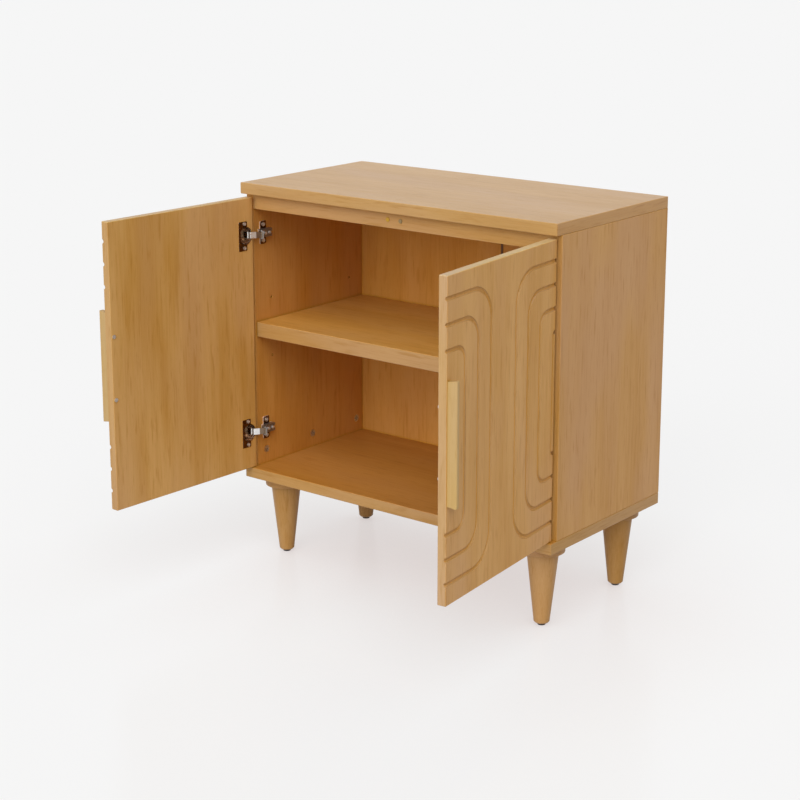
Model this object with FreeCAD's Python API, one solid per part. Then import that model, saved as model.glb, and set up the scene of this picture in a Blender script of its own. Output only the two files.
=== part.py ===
"""Two-door storage cabinet on turned legs, piece by piece, in millimetres.

The origin is on the floor under the middle of the carcass: +X to the right, +Y to the back, +Z up.
Both doors stand open. Right-hand pieces are drawn first, and left-hand ones are their mirror images.
"""
import FreeCAD
import Part
import math
import os

# Carcass
CABINET_WIDTH = 740.0
CABINET_DEPTH = 372.0
CABINET_HEIGHT = 762.0
UNDERSIDE_HEIGHT = 162.0
TOP_THICKNESS = 22.0
BOTTOM_THICKNESS = 22.0
SIDE_THICKNESS = 18.0
SLAB_EDGE_RADIUS = 1.5
SIDE_EDGE_RADIUS = 1.0
RAIL_HEIGHT = 30.5
RAIL_THICKNESS = 18.0

# Back, in two boards joined by a strip
BACK_THICKNESS = 5.0
BACK_RECESS = 18.0
BACK_GROOVE_DEPTH = 6.0
BACK_GROOVE_PLAY = 0.1
BACK_JOINT_OFFSET = 10.0
STRIP_FRONT_WIDTH = 5.0
STRIP_BACK_WIDTH = 18.0
STRIP_LIP = 1.0
STRIP_WEB = 1.6

# Shelf and its concealed pins
SHELF_THICKNESS = 30.0
SHELF_UNDERSIDE = 451.5
SHELF_FRONT_SETBACK = 2.5
SHELF_BACK_GAP = 2.0
SHELF_END_GAP = 1.0
SHELF_PIN_RADIUS = 2.5
SHELF_PIN_HEIGHT_IN_SHELF = 13.5
SHELF_PIN_STEP = 59.5
SHELF_PIN_FRONT_INSET = 47.5
SHELF_PIN_BACK_INSET = 42.0
SHELF_PIN_IN_PANEL = 10.0
SHELF_PIN_IN_SHELF = 11.0
SHELF_SLOT_SIDE_GAP = 0.4

# Doors
DOOR_THICKNESS = 16.0
DOOR_BACK_GAP = 1.5
DOOR_SIDE_REVEAL = 2.0
DOOR_MEETING_GAP = 3.0
DOOR_TOP_GAP = 6.5
DOOR_BOTTOM_GAP = 1.5
DOOR_EDGE_RADIUS = 1.0

# How far each door stands open, in degrees
LEFT_DOOR_OPEN = 92.4
RIGHT_DOOR_OPEN = 96.1

# Half racetrack grooves in the door faces, nested from each upright edge
GROOVE_RADIUS = 4.0
GROOVE_COUNT = 3
GROOVE_END_INSET = 37.0
GROOVE_REACH = 141.0
GROOVE_PITCH = 42.4
GROOVE_CORNER_RADIUS = 57.0
GROOVE_CORNER_STEP = 16.0
EDGE_GROOVE_REACH = 6.5
EDGE_GROOVE_CORNER_RADIUS = 5.0

# Bar handles
HANDLE_LENGTH = 213.0
HANDLE_END_SLANT = 3.0
HANDLE_WIDTH = 9.0
HANDLE_PROJECTION = 18.0
HANDLE_EDGE_INSET = 1.5
HANDLE_EDGE_RADIUS = 2.5
HANDLE_SCREW_SPACING = 120.0
HANDLE_SCREW_RADIUS = 2.0
HANDLE_SCREW_BITE = 12.0
HANDLE_SCREW_HEAD_RADIUS = 4.0
HANDLE_SCREW_HEAD_HEIGHT = 1.5

# Legs
LEG_INSET_X = 56.0
LEG_INSET_Y = 58.5
LEG_TOP_RADIUS = 30.0
LEG_FOOT_RADIUS = 14.8
LEG_FOOT_CHAMFER = 2.5
COLLAR_RADIUS = 41.0
COLLAR_THICKNESS = 18.5
COLLAR_EDGE_RADIUS = 1.5
GLIDE_RADIUS = 7.5
GLIDE_HEIGHT = 4.5
GLIDE_PIN_RADIUS = 2.0
GLIDE_PIN_LENGTH = 14.0
LEG_BOLT_RADIUS = 4.0
LEG_BOLT_IN_LEG = 35.0
INSERT_RADIUS = 6.0
INSERT_LENGTH = 16.0

# Cam fasteners and dowels between the slabs and the sides
CAM_RADIUS = 7.5
CAM_DEPTH = 12.5
CAM_EDGE_DISTANCE = 28.5
CAM_FRONT_INSET = 26.5
CAM_BACK_INSET = 21.0
CAM_COUNT = 3
CAM_SLOT_GAP = 0.4
CAM_BOLT_RADIUS = 3.0
CAM_BOLT_NECK_RADIUS = 2.2
CAM_BOLT_BITE = 11.0
CAM_BOLT_HEAD_HEIGHT = 2.5
CAM_BOLT_BORE_RADIUS = 4.0
DOWEL_RADIUS = 4.0
DOWEL_IN_SLAB = 12.0
DOWEL_IN_SIDE = 18.0
RAIL_DOWEL_SPACING = 15.0
RAIL_DOWEL_IN_SIDE = 9.0
RAIL_DOWEL_IN_RAIL = 20.0

# Concealed cup hinges
HINGE_DOOR_INSET = 74.0
ARM_PIN_INSET = 34.0
ARM_PIN_STANDOFF = 4.5
CUP_PIN_INSET = 8.4
CUP_PIN_DEPTH = 4.6
LINK_TURN_SHARE = 0.27
LINK_ELBOW_INSET = 14.0
LINK_ELBOW_DEPTH = 7.7
LINK_THICKNESS = 1.8
LINK_HEIGHT = 12.4
LINK_SIDE_PLAY = 0.4
ARM_PIN_RADIUS = 1.5
ARM_EYE_RADIUS = 2.9
CUP_PIN_RADIUS = 1.25
CUP_EYE_RADIUS = 2.3
PIN_RUNNING_CLEARANCE = 0.05
PIN_SEAT_CLEARANCE = 0.02

ARM_CHEEK = 1.4
ARM_WEB = 1.5
ARM_HEIGHT = 12.0
ARM_EAR_RADIUS = 3.4
ARM_TAIL_SETBACK = 39.5
ARM_KNEE_SETBACK = 13.5
ARM_FOOT_SETBACK = 11.0
ARM_MOUTH_GAP = 2.0
ARM_EYE_GAP = 0.3
ARM_HOOD_REACH = 3.5
ARM_PIN_PROUD = 0.4

PLATE_THICKNESS = 2.0
PLATE_SETBACK = 24.0
PLATE_WING_HEIGHT = 46.0
PLATE_WING_WIDTH = 17.0
PLATE_WING_CORNER_RADIUS = 3.0
PLATE_SCREW_SPACING = 32.0
PLATE_SCREW_RADIUS = 2.9
PLATE_SCREW_BITE = 11.0
PLATE_SCREW_HEAD_RADIUS = 4.0
PLATE_SCREW_HEAD_HEIGHT = 1.8
BOSS_HEIGHT = 6.5
BOSS_SIDE_GAP = 0.3
BOSS_END_MARGIN = 2.0
ADJUSTER_RADIUS = 2.0
ADJUSTER_HEAD_RADIUS = 3.0
ADJUSTER_HEAD_HEIGHT = 1.6
ADJUSTER_BITE = 4.0
ADJUSTER_SPACING = 12.0
ADJUSTER_FRONT_SHIFT = 4.0

CUP_INSET = 20.5
CUP_RADIUS = 17.4
CUP_WALL = 0.7
CUP_DEPTH = 10.9
FLANGE_RADIUS = 17.9
FLANGE_THICKNESS = 1.0
FLANGE_HEIGHT = 58.0
FLANGE_FAR_REACH = 18.0
FLANGE_NEAR_REACH = 4.5
FLANGE_CORNER_RADIUS = 2.0
SPRING_BOX_REACH = 7.0
SPRING_BOX_DEPTH = 2.0
SPRING_BOX_HEIGHT = 24.0
LUG_THICKNESS = 1.6
LUG_TOP_DEPTH = 1.5
LUG_REACH = 2.8
CUP_SCREW_SPACING = 48.0
CUP_SCREW_OFFSET = 2.5
CUP_SCREW_RADIUS = 1.8
CUP_SCREW_LENGTH = 9.0
CUP_SCREW_HEAD_RADIUS = 3.6
CUP_SCREW_HEAD_HEIGHT = 1.4

# Door bumpers on the rail
BUMPER_RADIUS = 4.0
BUMPER_THICKNESS = 1.3
BUMPER_EDGE_RADIUS = 0.5
BUMPER_OFFSET = 15.0
BUMPER_TOP_DISTANCE = 15.0

# Shared fits
HOLE_CLEARANCE = 0.1
HOLE_END_GAP = 1.0
RECESS_DEPTH_SHARE = 0.6
RECESS_SPAN_SHARE = 1.2
RECESS_WIDTH_SHARE = 0.28
OVERSHOOT = 5.0
TOUCHING = 1e-6

# Planes and centres that follow from the sizes above
HALF_WIDTH = CABINET_WIDTH / 2
FRONT_Y = -CABINET_DEPTH / 2
BACK_Y = CABINET_DEPTH / 2
TOP_UNDERSIDE = CABINET_HEIGHT - TOP_THICKNESS
FLOOR_Z = UNDERSIDE_HEIGHT + BOTTOM_THICKNESS
WALL_X = HALF_WIDTH - SIDE_THICKNESS
SIDE_MID_X = HALF_WIDTH - SIDE_THICKNESS / 2
CARCASS_FRONT = FRONT_Y + DOOR_THICKNESS + DOOR_BACK_GAP
BACK_FACE_Y = BACK_Y - BACK_RECESS
BACK_INNER_Y = BACK_FACE_Y - BACK_THICKNESS
RAIL_BOTTOM = TOP_UNDERSIDE - RAIL_HEIGHT

DOOR_EDGE_X = HALF_WIDTH - DOOR_SIDE_REVEAL
DOOR_FREE_X = DOOR_MEETING_GAP / 2
DOOR_INNER_Y = CARCASS_FRONT - DOOR_BACK_GAP
DOOR_OUTER_Y = DOOR_INNER_Y - DOOR_THICKNESS
DOOR_BOTTOM = FLOOR_Z + DOOR_BOTTOM_GAP
DOOR_TOP = TOP_UNDERSIDE - DOOR_TOP_GAP
DOOR_MID_Z = (DOOR_BOTTOM + DOOR_TOP) / 2
HANDLE_X = DOOR_FREE_X + HANDLE_EDGE_INSET + HANDLE_WIDTH / 2

HINGE_HEIGHTS = {"upper": DOOR_TOP - HINGE_DOOR_INSET, "lower": DOOR_BOTTOM + HINGE_DOOR_INSET}
ARM_PIN = FreeCAD.Vector(DOOR_EDGE_X - ARM_PIN_INSET, DOOR_INNER_Y + ARM_PIN_STANDOFF, 0)
CUP_PIN = FreeCAD.Vector(DOOR_EDGE_X - CUP_PIN_INSET, DOOR_INNER_Y - CUP_PIN_DEPTH, 0)
ELBOW = FreeCAD.Vector(DOOR_EDGE_X - LINK_ELBOW_INSET, DOOR_INNER_Y - LINK_ELBOW_DEPTH, 0)
CUP_CENTRE_X = DOOR_EDGE_X - CUP_INSET
PLATE_Y = CARCASS_FRONT + PLATE_SETBACK
ARM_TAIL_Y = CARCASS_FRONT + ARM_TAIL_SETBACK
ARM_FOOT_Y = CARCASS_FRONT + ARM_FOOT_SETBACK
ARM_INNER_HALF = LINK_HEIGHT / 2 + LINK_SIDE_PLAY
ARM_HALF = ARM_INNER_HALF + ARM_CHEEK

LEG_X = HALF_WIDTH - LEG_INSET_X
LEG_Y = CABINET_DEPTH / 2 - LEG_INSET_Y
LEG_TOP_Z = UNDERSIDE_HEIGHT - COLLAR_THICKNESS
CAM_FRONT_Y = CARCASS_FRONT + CAM_FRONT_INSET
CAM_PITCH = (BACK_INNER_Y - CAM_BACK_INSET - CAM_FRONT_Y) / (CAM_COUNT - 1)
CAM_SPOTS_Y = [CAM_FRONT_Y + i * CAM_PITCH for i in range(CAM_COUNT)]
DOWEL_SPOTS_Y = [y + CAM_PITCH / 2 for y in CAM_SPOTS_Y[:-1]]
PIN_SPOTS_Y = [CARCASS_FRONT + SHELF_PIN_FRONT_INSET, BACK_INNER_Y - SHELF_PIN_BACK_INSET]
SHELF_PIN_Z = SHELF_UNDERSIDE + SHELF_PIN_HEIGHT_IN_SHELF
PIN_LEVELS = [SHELF_PIN_Z - SHELF_PIN_STEP, SHELF_PIN_Z, SHELF_PIN_Z + SHELF_PIN_STEP]
ADJUSTER_SPOTS_Y = [PLATE_Y - ADJUSTER_FRONT_SHIFT, PLATE_Y - ADJUSTER_FRONT_SHIFT + ADJUSTER_SPACING]

X_AXIS = FreeCAD.Vector(1, 0, 0)
Y_AXIS = FreeCAD.Vector(0, 1, 0)
Z_AXIS = FreeCAD.Vector(0, 0, 1)


def box(x0, x1, y0, y1, z0, z1):
    """Block between two opposite corners."""
    return Part.makeBox(x1 - x0, y1 - y0, z1 - z0, FreeCAD.Vector(x0, y0, z0))


def rod(radius, start, direction, length):
    """Round bar from a point along a direction."""
    return Part.makeCylinder(radius, length, FreeCAD.Vector(*start), direction)


def mirrored(shape):
    """Left-hand copy of a right-hand piece."""
    return shape.mirror(FreeCAD.Vector(0, 0, 0), X_AXIS)


def both_sides(shapes):
    """Right-hand solids followed by their left-hand copies."""
    return shapes + [mirrored(shape) for shape in shapes]


def prism(points, z0, z1):
    """Upright prism over a plan outline of (x, y) points."""
    corners = [FreeCAD.Vector(x, y, z0) for x, y in points]
    return Part.Face(Part.makePolygon(corners + corners[:1])).extrude(Z_AXIS * (z1 - z0))


def edges_along(shape, direction):
    """Straight edges of a shape that run along a direction."""
    found = []
    for edge in shape.Edges:
        run = edge.Vertexes[-1].Point - edge.Vertexes[0].Point
        if run.Length > 0 and abs(abs(run.dot(direction)) - run.Length) < TOUCHING:
            found.append(edge)
    return found


def rounded_block(x0, x1, y0, y1, z0, z1, radius):
    """Block with every edge eased."""
    block = box(x0, x1, y0, y1, z0, z1)
    return block.makeFillet(radius, block.Edges)


def screw(seat, direction, head_radius, head_height, shank_radius, shank_length):
    """Cross-head screw whose head sits on the seat point and whose shank runs along the direction."""
    seat = FreeCAD.Vector(*seat)
    body = rod(shank_radius, seat, direction, shank_length)
    head = rod(head_radius, seat, direction * -1, head_height)
    depth = head_height * RECESS_DEPTH_SHARE
    half_span = head_radius * RECESS_SPAN_SHARE / 2
    half_width = head_radius * RECESS_WIDTH_SHARE / 2
    turn = FreeCAD.Rotation(Z_AXIS, direction * -1)
    for half_x, half_y in ((half_span, half_width), (half_width, half_span)):
        cut = box(-half_x, half_x, -half_y, half_y, head_height - depth, head_height + depth)
        cut.Placement = FreeCAD.Placement(seat, turn)
        head = head.cut(cut)
    return body.fuse(head).removeSplitter()


def back_groove():
    """Slot round the inside of the carcass that holds the back boards."""
    reach_x = WALL_X + BACK_GROOVE_DEPTH
    return box(
        -reach_x,
        reach_x,
        BACK_INNER_Y - BACK_GROOVE_PLAY,
        BACK_FACE_Y + BACK_GROOVE_PLAY,
        FLOOR_Z - BACK_GROOVE_DEPTH,
        TOP_UNDERSIDE + BACK_GROOVE_DEPTH,
    )


def slab_joint_holes(face_z, into):
    """Holes in a slab face for the cam bolts and dowels of the right side, then of the left."""
    holes = []
    for y in CAM_SPOTS_Y:
        start = (SIDE_MID_X, y, face_z)
        holes.append(rod(CAM_BOLT_RADIUS + HOLE_CLEARANCE, start, into, CAM_BOLT_BITE + HOLE_END_GAP))
    for y in DOWEL_SPOTS_Y:
        start = (SIDE_MID_X, y, face_z)
        holes.append(rod(DOWEL_RADIUS + HOLE_CLEARANCE, start, into, DOWEL_IN_SLAB + HOLE_END_GAP))
    return both_sides(holes)


def slab(z0, z1):
    """Top or bottom board with eased edges."""
    return rounded_block(-HALF_WIDTH, HALF_WIDTH, FRONT_Y, BACK_Y, z0, z1, SLAB_EDGE_RADIUS)


def top_panel():
    """Table top, bored from below for the side panels."""
    cuts = slab_joint_holes(TOP_UNDERSIDE, Z_AXIS) + [back_groove()]
    return slab(TOP_UNDERSIDE, CABINET_HEIGHT).cut(cuts)


def bottom_panel():
    """Cabinet floor, bored from above for the sides and from below for the leg inserts."""
    cuts = slab_joint_holes(FLOOR_Z, Z_AXIS * -1) + [back_groove()]
    for x, y in leg_spots().values():
        start = (x, y, UNDERSIDE_HEIGHT)
        cuts.append(rod(INSERT_RADIUS + HOLE_CLEARANCE, start, Z_AXIS, INSERT_LENGTH + HOLE_END_GAP))
    return slab(UNDERSIDE_HEIGHT, FLOOR_Z).cut(cuts)


def cam_levels():
    """Cam height, slab face and direction into the slab, for the lower and the upper joint."""
    return {
        "bottom": (FLOOR_Z + CAM_EDGE_DISTANCE, FLOOR_Z, Z_AXIS * -1),
        "top": (TOP_UNDERSIDE - CAM_EDGE_DISTANCE, TOP_UNDERSIDE, Z_AXIS),
    }


def rail_dowel_spots():
    """Heights of the dowels at each end of the rail."""
    middle = (RAIL_BOTTOM + TOP_UNDERSIDE) / 2
    return [middle - RAIL_DOWEL_SPACING / 2, middle + RAIL_DOWEL_SPACING / 2]


def rail_dowel_holes():
    """Bores for the rail dowels, through the right end of the rail and into the right side."""
    length = RAIL_DOWEL_IN_RAIL + RAIL_DOWEL_IN_SIDE + 2 * HOLE_END_GAP
    y = CARCASS_FRONT + RAIL_THICKNESS / 2
    x = WALL_X - RAIL_DOWEL_IN_RAIL - HOLE_END_GAP
    return [rod(DOWEL_RADIUS + HOLE_CLEARANCE, (x, y, z), X_AXIS, length) for z in rail_dowel_spots()]


def side_panel():
    """Right-hand side with all its bores and the slot for the back."""
    panel = box(WALL_X, HALF_WIDTH, CARCASS_FRONT, BACK_Y, FLOOR_Z, TOP_UNDERSIDE)
    outer = [edge for edge in panel.Edges if abs(edge.CenterOfMass.x - HALF_WIDTH) < TOUCHING]
    panel = panel.makeFillet(SIDE_EDGE_RADIUS, outer)
    cuts = [back_groove()] + rail_dowel_holes()
    for level_z, face_z, into in cam_levels().values():
        for y in CAM_SPOTS_Y:
            cam_hole = (WALL_X, y, level_z)
            cuts.append(rod(CAM_RADIUS + HOLE_CLEARANCE, cam_hole, X_AXIS, CAM_DEPTH + HOLE_CLEARANCE))
            bolt_hole = (SIDE_MID_X, y, face_z)
            cuts.append(rod(CAM_BOLT_BORE_RADIUS, bolt_hole, into * -1, CAM_EDGE_DISTANCE))
        for y in DOWEL_SPOTS_Y:
            dowel_hole = (SIDE_MID_X, y, face_z)
            depth = DOWEL_IN_SIDE + HOLE_END_GAP
            cuts.append(rod(DOWEL_RADIUS + HOLE_CLEARANCE, dowel_hole, into * -1, depth))
    for y in PIN_SPOTS_Y:
        for z in PIN_LEVELS:
            depth = SHELF_PIN_IN_PANEL + HOLE_END_GAP
            cuts.append(rod(SHELF_PIN_RADIUS + HOLE_CLEARANCE, (WALL_X, y, z), X_AXIS, depth))
    for hinge_z in HINGE_HEIGHTS.values():
        for z in plate_screw_spots(hinge_z):
            depth = PLATE_SCREW_BITE + HOLE_END_GAP
            cuts.append(rod(PLATE_SCREW_RADIUS + HOLE_CLEARANCE, (WALL_X, PLATE_Y, z), X_AXIS, depth))
    return panel.cut(cuts)


def back_board(x0, x1):
    """One thin board of the back, held in the slot round the carcass."""
    seat = BACK_GROOVE_DEPTH - HOLE_END_GAP
    return box(x0, x1, BACK_INNER_Y, BACK_FACE_Y, FLOOR_Z - seat, TOP_UNDERSIDE + seat)


def back_joint_strip():
    """H-shaped strip that joins the two back boards, narrow lip to the inside."""
    parts = [
        (STRIP_FRONT_WIDTH, BACK_INNER_Y - STRIP_LIP, BACK_INNER_Y),
        (STRIP_WEB, BACK_INNER_Y, BACK_FACE_Y),
        (STRIP_BACK_WIDTH, BACK_FACE_Y, BACK_FACE_Y + STRIP_LIP),
    ]
    bars = []
    for width, y0, y1 in parts:
        x0 = BACK_JOINT_OFFSET - width / 2
        bars.append(box(x0, x0 + width, y0, y1, FLOOR_Z, TOP_UNDERSIDE))
    return bars[0].fuse(bars[1:]).removeSplitter()


def back_pieces():
    """Both back boards and the strip between them."""
    outer = WALL_X + BACK_GROOVE_DEPTH - HOLE_END_GAP
    gap = STRIP_WEB / 2
    return {
        "back_panel_left": back_board(-outer, BACK_JOINT_OFFSET - gap),
        "back_panel_right": back_board(BACK_JOINT_OFFSET + gap, outer),
        "back_joint_strip": back_joint_strip(),
    }


def top_front_rail():
    """Rail across the front under the top."""
    back = CARCASS_FRONT + RAIL_THICKNESS
    rail = box(-WALL_X, WALL_X, CARCASS_FRONT, back, RAIL_BOTTOM, TOP_UNDERSIDE)
    return rail.cut(both_sides(rail_dowel_holes()))


def shelf():
    """Thick shelf with slots in its ends that hide the pins it lies on."""
    half = WALL_X - SHELF_END_GAP
    front = CARCASS_FRONT + SHELF_FRONT_SETBACK
    top = SHELF_UNDERSIDE + SHELF_THICKNESS
    board = rounded_block(
        -half, half, front, BACK_INNER_Y - SHELF_BACK_GAP, SHELF_UNDERSIDE, top, SLAB_EDGE_RADIUS
    )
    slots = []
    half_slot = SHELF_PIN_RADIUS + SHELF_SLOT_SIDE_GAP
    for y in PIN_SPOTS_Y:
        x0 = WALL_X - SHELF_PIN_IN_SHELF - HOLE_END_GAP
        bottom = SHELF_UNDERSIDE - OVERSHOOT
        slot_top = SHELF_PIN_Z + SHELF_PIN_RADIUS
        slots.append(box(x0, WALL_X, y - half_slot, y + half_slot, bottom, slot_top))
    return board.cut(both_sides(slots))


def shelf_pins():
    """Four plain pins under the shelf ends."""
    length = SHELF_PIN_IN_PANEL + SHELF_PIN_IN_SHELF
    x0 = WALL_X - SHELF_PIN_IN_SHELF
    pins = [rod(SHELF_PIN_RADIUS, (x0, y, SHELF_PIN_Z), X_AXIS, length) for y in PIN_SPOTS_Y]
    return Part.makeCompound(both_sides(pins))


def cam_lock(y, z, into):
    """Drum of a cam fastener, cross-slotted in front and open behind for the bolt head."""
    drum = rod(CAM_RADIUS, (WALL_X, y, z), X_AXIS, CAM_DEPTH)
    half_slot = CAM_BOLT_RADIUS + CAM_SLOT_GAP
    slot_x = SIDE_MID_X - half_slot
    reach = CAM_RADIUS + OVERSHOOT
    over = CAM_BOLT_HEAD_HEIGHT + CAM_SLOT_GAP
    z0, z1 = sorted((z + into.z * reach, z - into.z * over))
    cuts = [box(slot_x, HALF_WIDTH, y - half_slot, y + half_slot, z0, z1)]
    depth = CAM_BOLT_HEAD_HEIGHT * RECESS_DEPTH_SHARE
    half_span = CAM_RADIUS * RECESS_SPAN_SHARE / 2
    half_width = CAM_RADIUS * RECESS_WIDTH_SHARE / 2
    for half_y, half_z in ((half_span, half_width), (half_width, half_span)):
        cuts.append(box(WALL_X - depth, WALL_X + depth, y - half_y, y + half_y, z - half_z, z + half_z))
    return drum.cut(cuts)


def cam_bolt(y, z, face_z, into):
    """Bolt from a slab up to its cam: thread, neck and head."""
    base = FreeCAD.Vector(SIDE_MID_X, y, face_z)
    away = into * -1
    reach = abs(z - face_z)
    thread = rod(CAM_BOLT_RADIUS, base, into, CAM_BOLT_BITE)
    neck = rod(CAM_BOLT_NECK_RADIUS, base, away, reach)
    head = rod(CAM_BOLT_RADIUS, base + away * reach, away, CAM_BOLT_HEAD_HEIGHT)
    return thread.fuse([neck, head]).removeSplitter()


def joint_dowel(y, face_z, into):
    """Dowel between a slab and the right side."""
    start = FreeCAD.Vector(SIDE_MID_X, y, face_z) + into * DOWEL_IN_SLAB
    return rod(DOWEL_RADIUS, start, into * -1, DOWEL_IN_SLAB + DOWEL_IN_SIDE)


def carcass_fasteners():
    """Cams, cam bolts and dowels of the carcass, each kind as a group."""
    groups = {"carcass_dowels": []}
    for name, (level_z, face_z, into) in cam_levels().items():
        locks = [cam_lock(y, level_z, into) for y in CAM_SPOTS_Y]
        bolts = [cam_bolt(y, level_z, face_z, into) for y in CAM_SPOTS_Y]
        groups[name + "_cam_locks"] = locks
        groups[name + "_cam_bolts"] = bolts
        groups["carcass_dowels"] += [joint_dowel(y, face_z, into) for y in DOWEL_SPOTS_Y]
    start_x = WALL_X - RAIL_DOWEL_IN_RAIL
    length = RAIL_DOWEL_IN_RAIL + RAIL_DOWEL_IN_SIDE
    y = CARCASS_FRONT + RAIL_THICKNESS / 2
    groups["rail_dowels"] = [rod(DOWEL_RADIUS, (start_x, y, z), X_AXIS, length) for z in rail_dowel_spots()]
    return {name: Part.makeCompound(both_sides(solids)) for name, solids in groups.items()}


def leg_spots():
    """Plan position of each leg."""
    return {
        "front_left": (-LEG_X, -LEG_Y),
        "front_right": (LEG_X, -LEG_Y),
        "back_left": (-LEG_X, LEG_Y),
        "back_right": (LEG_X, LEG_Y),
    }


def leg(x, y):
    """Tapered turned leg, bored for its bolt above and its glide below."""
    outline = [
        (0, GLIDE_HEIGHT),
        (LEG_FOOT_RADIUS - LEG_FOOT_CHAMFER, GLIDE_HEIGHT),
        (LEG_FOOT_RADIUS, GLIDE_HEIGHT + LEG_FOOT_CHAMFER),
        (LEG_TOP_RADIUS, LEG_TOP_Z),
        (0, LEG_TOP_Z),
    ]
    points = [FreeCAD.Vector(radius, 0, z) for radius, z in outline]
    solid = Part.Face(Part.makePolygon(points + points[:1])).revolve(FreeCAD.Vector(0, 0, 0), Z_AXIS, 360)
    bolt_bottom = LEG_TOP_Z - LEG_BOLT_IN_LEG - HOLE_END_GAP
    bolt_hole = rod(LEG_BOLT_RADIUS + HOLE_CLEARANCE, (0, 0, bolt_bottom), Z_AXIS, LEG_TOP_Z - bolt_bottom)
    pin_depth = GLIDE_PIN_LENGTH + HOLE_END_GAP
    pin_hole = rod(GLIDE_PIN_RADIUS + HOLE_CLEARANCE, (0, 0, GLIDE_HEIGHT), Z_AXIS, pin_depth)
    solid = solid.cut([bolt_hole, pin_hole])
    solid.translate(FreeCAD.Vector(x, y, 0))
    return solid


def collar(x, y):
    """Turned disc between a leg and the cabinet floor."""
    disc = rod(COLLAR_RADIUS, (x, y, LEG_TOP_Z), Z_AXIS, COLLAR_THICKNESS)
    rims = [edge for edge in disc.Edges if len(edge.Vertexes) == 1]
    disc = disc.makeFillet(COLLAR_EDGE_RADIUS, rims)
    return disc.cut(rod(LEG_BOLT_RADIUS + HOLE_CLEARANCE, (x, y, LEG_TOP_Z), Z_AXIS, COLLAR_THICKNESS))


def glide(x, y):
    """Nail-in glide under a leg."""
    foot = rod(GLIDE_RADIUS, (x, y, 0), Z_AXIS, GLIDE_HEIGHT)
    return foot.fuse(rod(GLIDE_PIN_RADIUS, (x, y, GLIDE_HEIGHT), Z_AXIS, GLIDE_PIN_LENGTH)).removeSplitter()


def leg_bolt(x, y):
    """Stud that ties a leg and its collar to the insert in the cabinet floor."""
    bottom = LEG_TOP_Z - LEG_BOLT_IN_LEG
    return rod(LEG_BOLT_RADIUS, (x, y, bottom), Z_AXIS, UNDERSIDE_HEIGHT + INSERT_LENGTH - bottom)


def leg_insert(x, y):
    """Threaded insert in the cabinet floor."""
    mouth = (x, y, UNDERSIDE_HEIGHT)
    sleeve = rod(INSERT_RADIUS, mouth, Z_AXIS, INSERT_LENGTH)
    return sleeve.cut(rod(LEG_BOLT_RADIUS + HOLE_CLEARANCE, mouth, Z_AXIS, INSERT_LENGTH))


def leg_pieces():
    """Legs and collars one by one, and their small parts in groups."""
    pieces = {}
    spots = leg_spots()
    for name, (x, y) in spots.items():
        pieces[name + "_leg"] = leg(x, y)
        pieces[name + "_collar"] = collar(x, y)
    for name, make in (("leg_glides", glide), ("leg_bolts", leg_bolt), ("leg_inserts", leg_insert)):
        pieces[name] = Part.makeCompound([make(x, y) for x, y in spots.values()])
    return pieces


def plate_screw_spots(hinge_z):
    """Heights of the two screws of a hinge plate."""
    return [hinge_z - PLATE_SCREW_SPACING / 2, hinge_z + PLATE_SCREW_SPACING / 2]


def hinge_plate(hinge_z):
    """Winged mounting plate on the right wall, with the boss that the arm straddles."""
    half_wing = PLATE_WING_WIDTH / 2
    half_tall = PLATE_WING_HEIGHT / 2
    wing = box(
        WALL_X - PLATE_THICKNESS,
        WALL_X,
        PLATE_Y - half_wing,
        PLATE_Y + half_wing,
        hinge_z - half_tall,
        hinge_z + half_tall,
    )
    wing = wing.makeFillet(PLATE_WING_CORNER_RADIUS, edges_along(wing, X_AXIS))
    base = box(
        WALL_X - PLATE_THICKNESS, WALL_X, ARM_FOOT_Y, ARM_TAIL_Y, hinge_z - ARM_HALF, hinge_z + ARM_HALF
    )
    half_boss = ARM_INNER_HALF - BOSS_SIDE_GAP
    boss = box(
        WALL_X - PLATE_THICKNESS - BOSS_HEIGHT,
        WALL_X - PLATE_THICKNESS,
        ARM_FOOT_Y + BOSS_END_MARGIN,
        ARM_TAIL_Y - BOSS_END_MARGIN,
        hinge_z - half_boss,
        hinge_z + half_boss,
    )
    plate = wing.fuse([base, boss]).removeSplitter()
    holes = []
    for z in plate_screw_spots(hinge_z):
        start = (WALL_X - PLATE_THICKNESS, PLATE_Y, z)
        holes.append(rod(PLATE_SCREW_RADIUS + HOLE_CLEARANCE, start, X_AXIS, PLATE_THICKNESS))
    for y in ADJUSTER_SPOTS_Y:
        start = (WALL_X - PLATE_THICKNESS - BOSS_HEIGHT, y, hinge_z)
        holes.append(rod(ADJUSTER_RADIUS + HOLE_CLEARANCE, start, X_AXIS, ADJUSTER_BITE + HOLE_END_GAP))
    return plate.cut(holes)


def hinge_plate_screws(hinge_z):
    """Two screws through a plate into the wall."""
    screws = []
    for z in plate_screw_spots(hinge_z):
        seat = (WALL_X - PLATE_THICKNESS, PLATE_Y, z)
        length = PLATE_THICKNESS + PLATE_SCREW_BITE
        screws.append(
            screw(
                seat, X_AXIS, PLATE_SCREW_HEAD_RADIUS, PLATE_SCREW_HEAD_HEIGHT, PLATE_SCREW_RADIUS, length
            )
        )
    return screws


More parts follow.
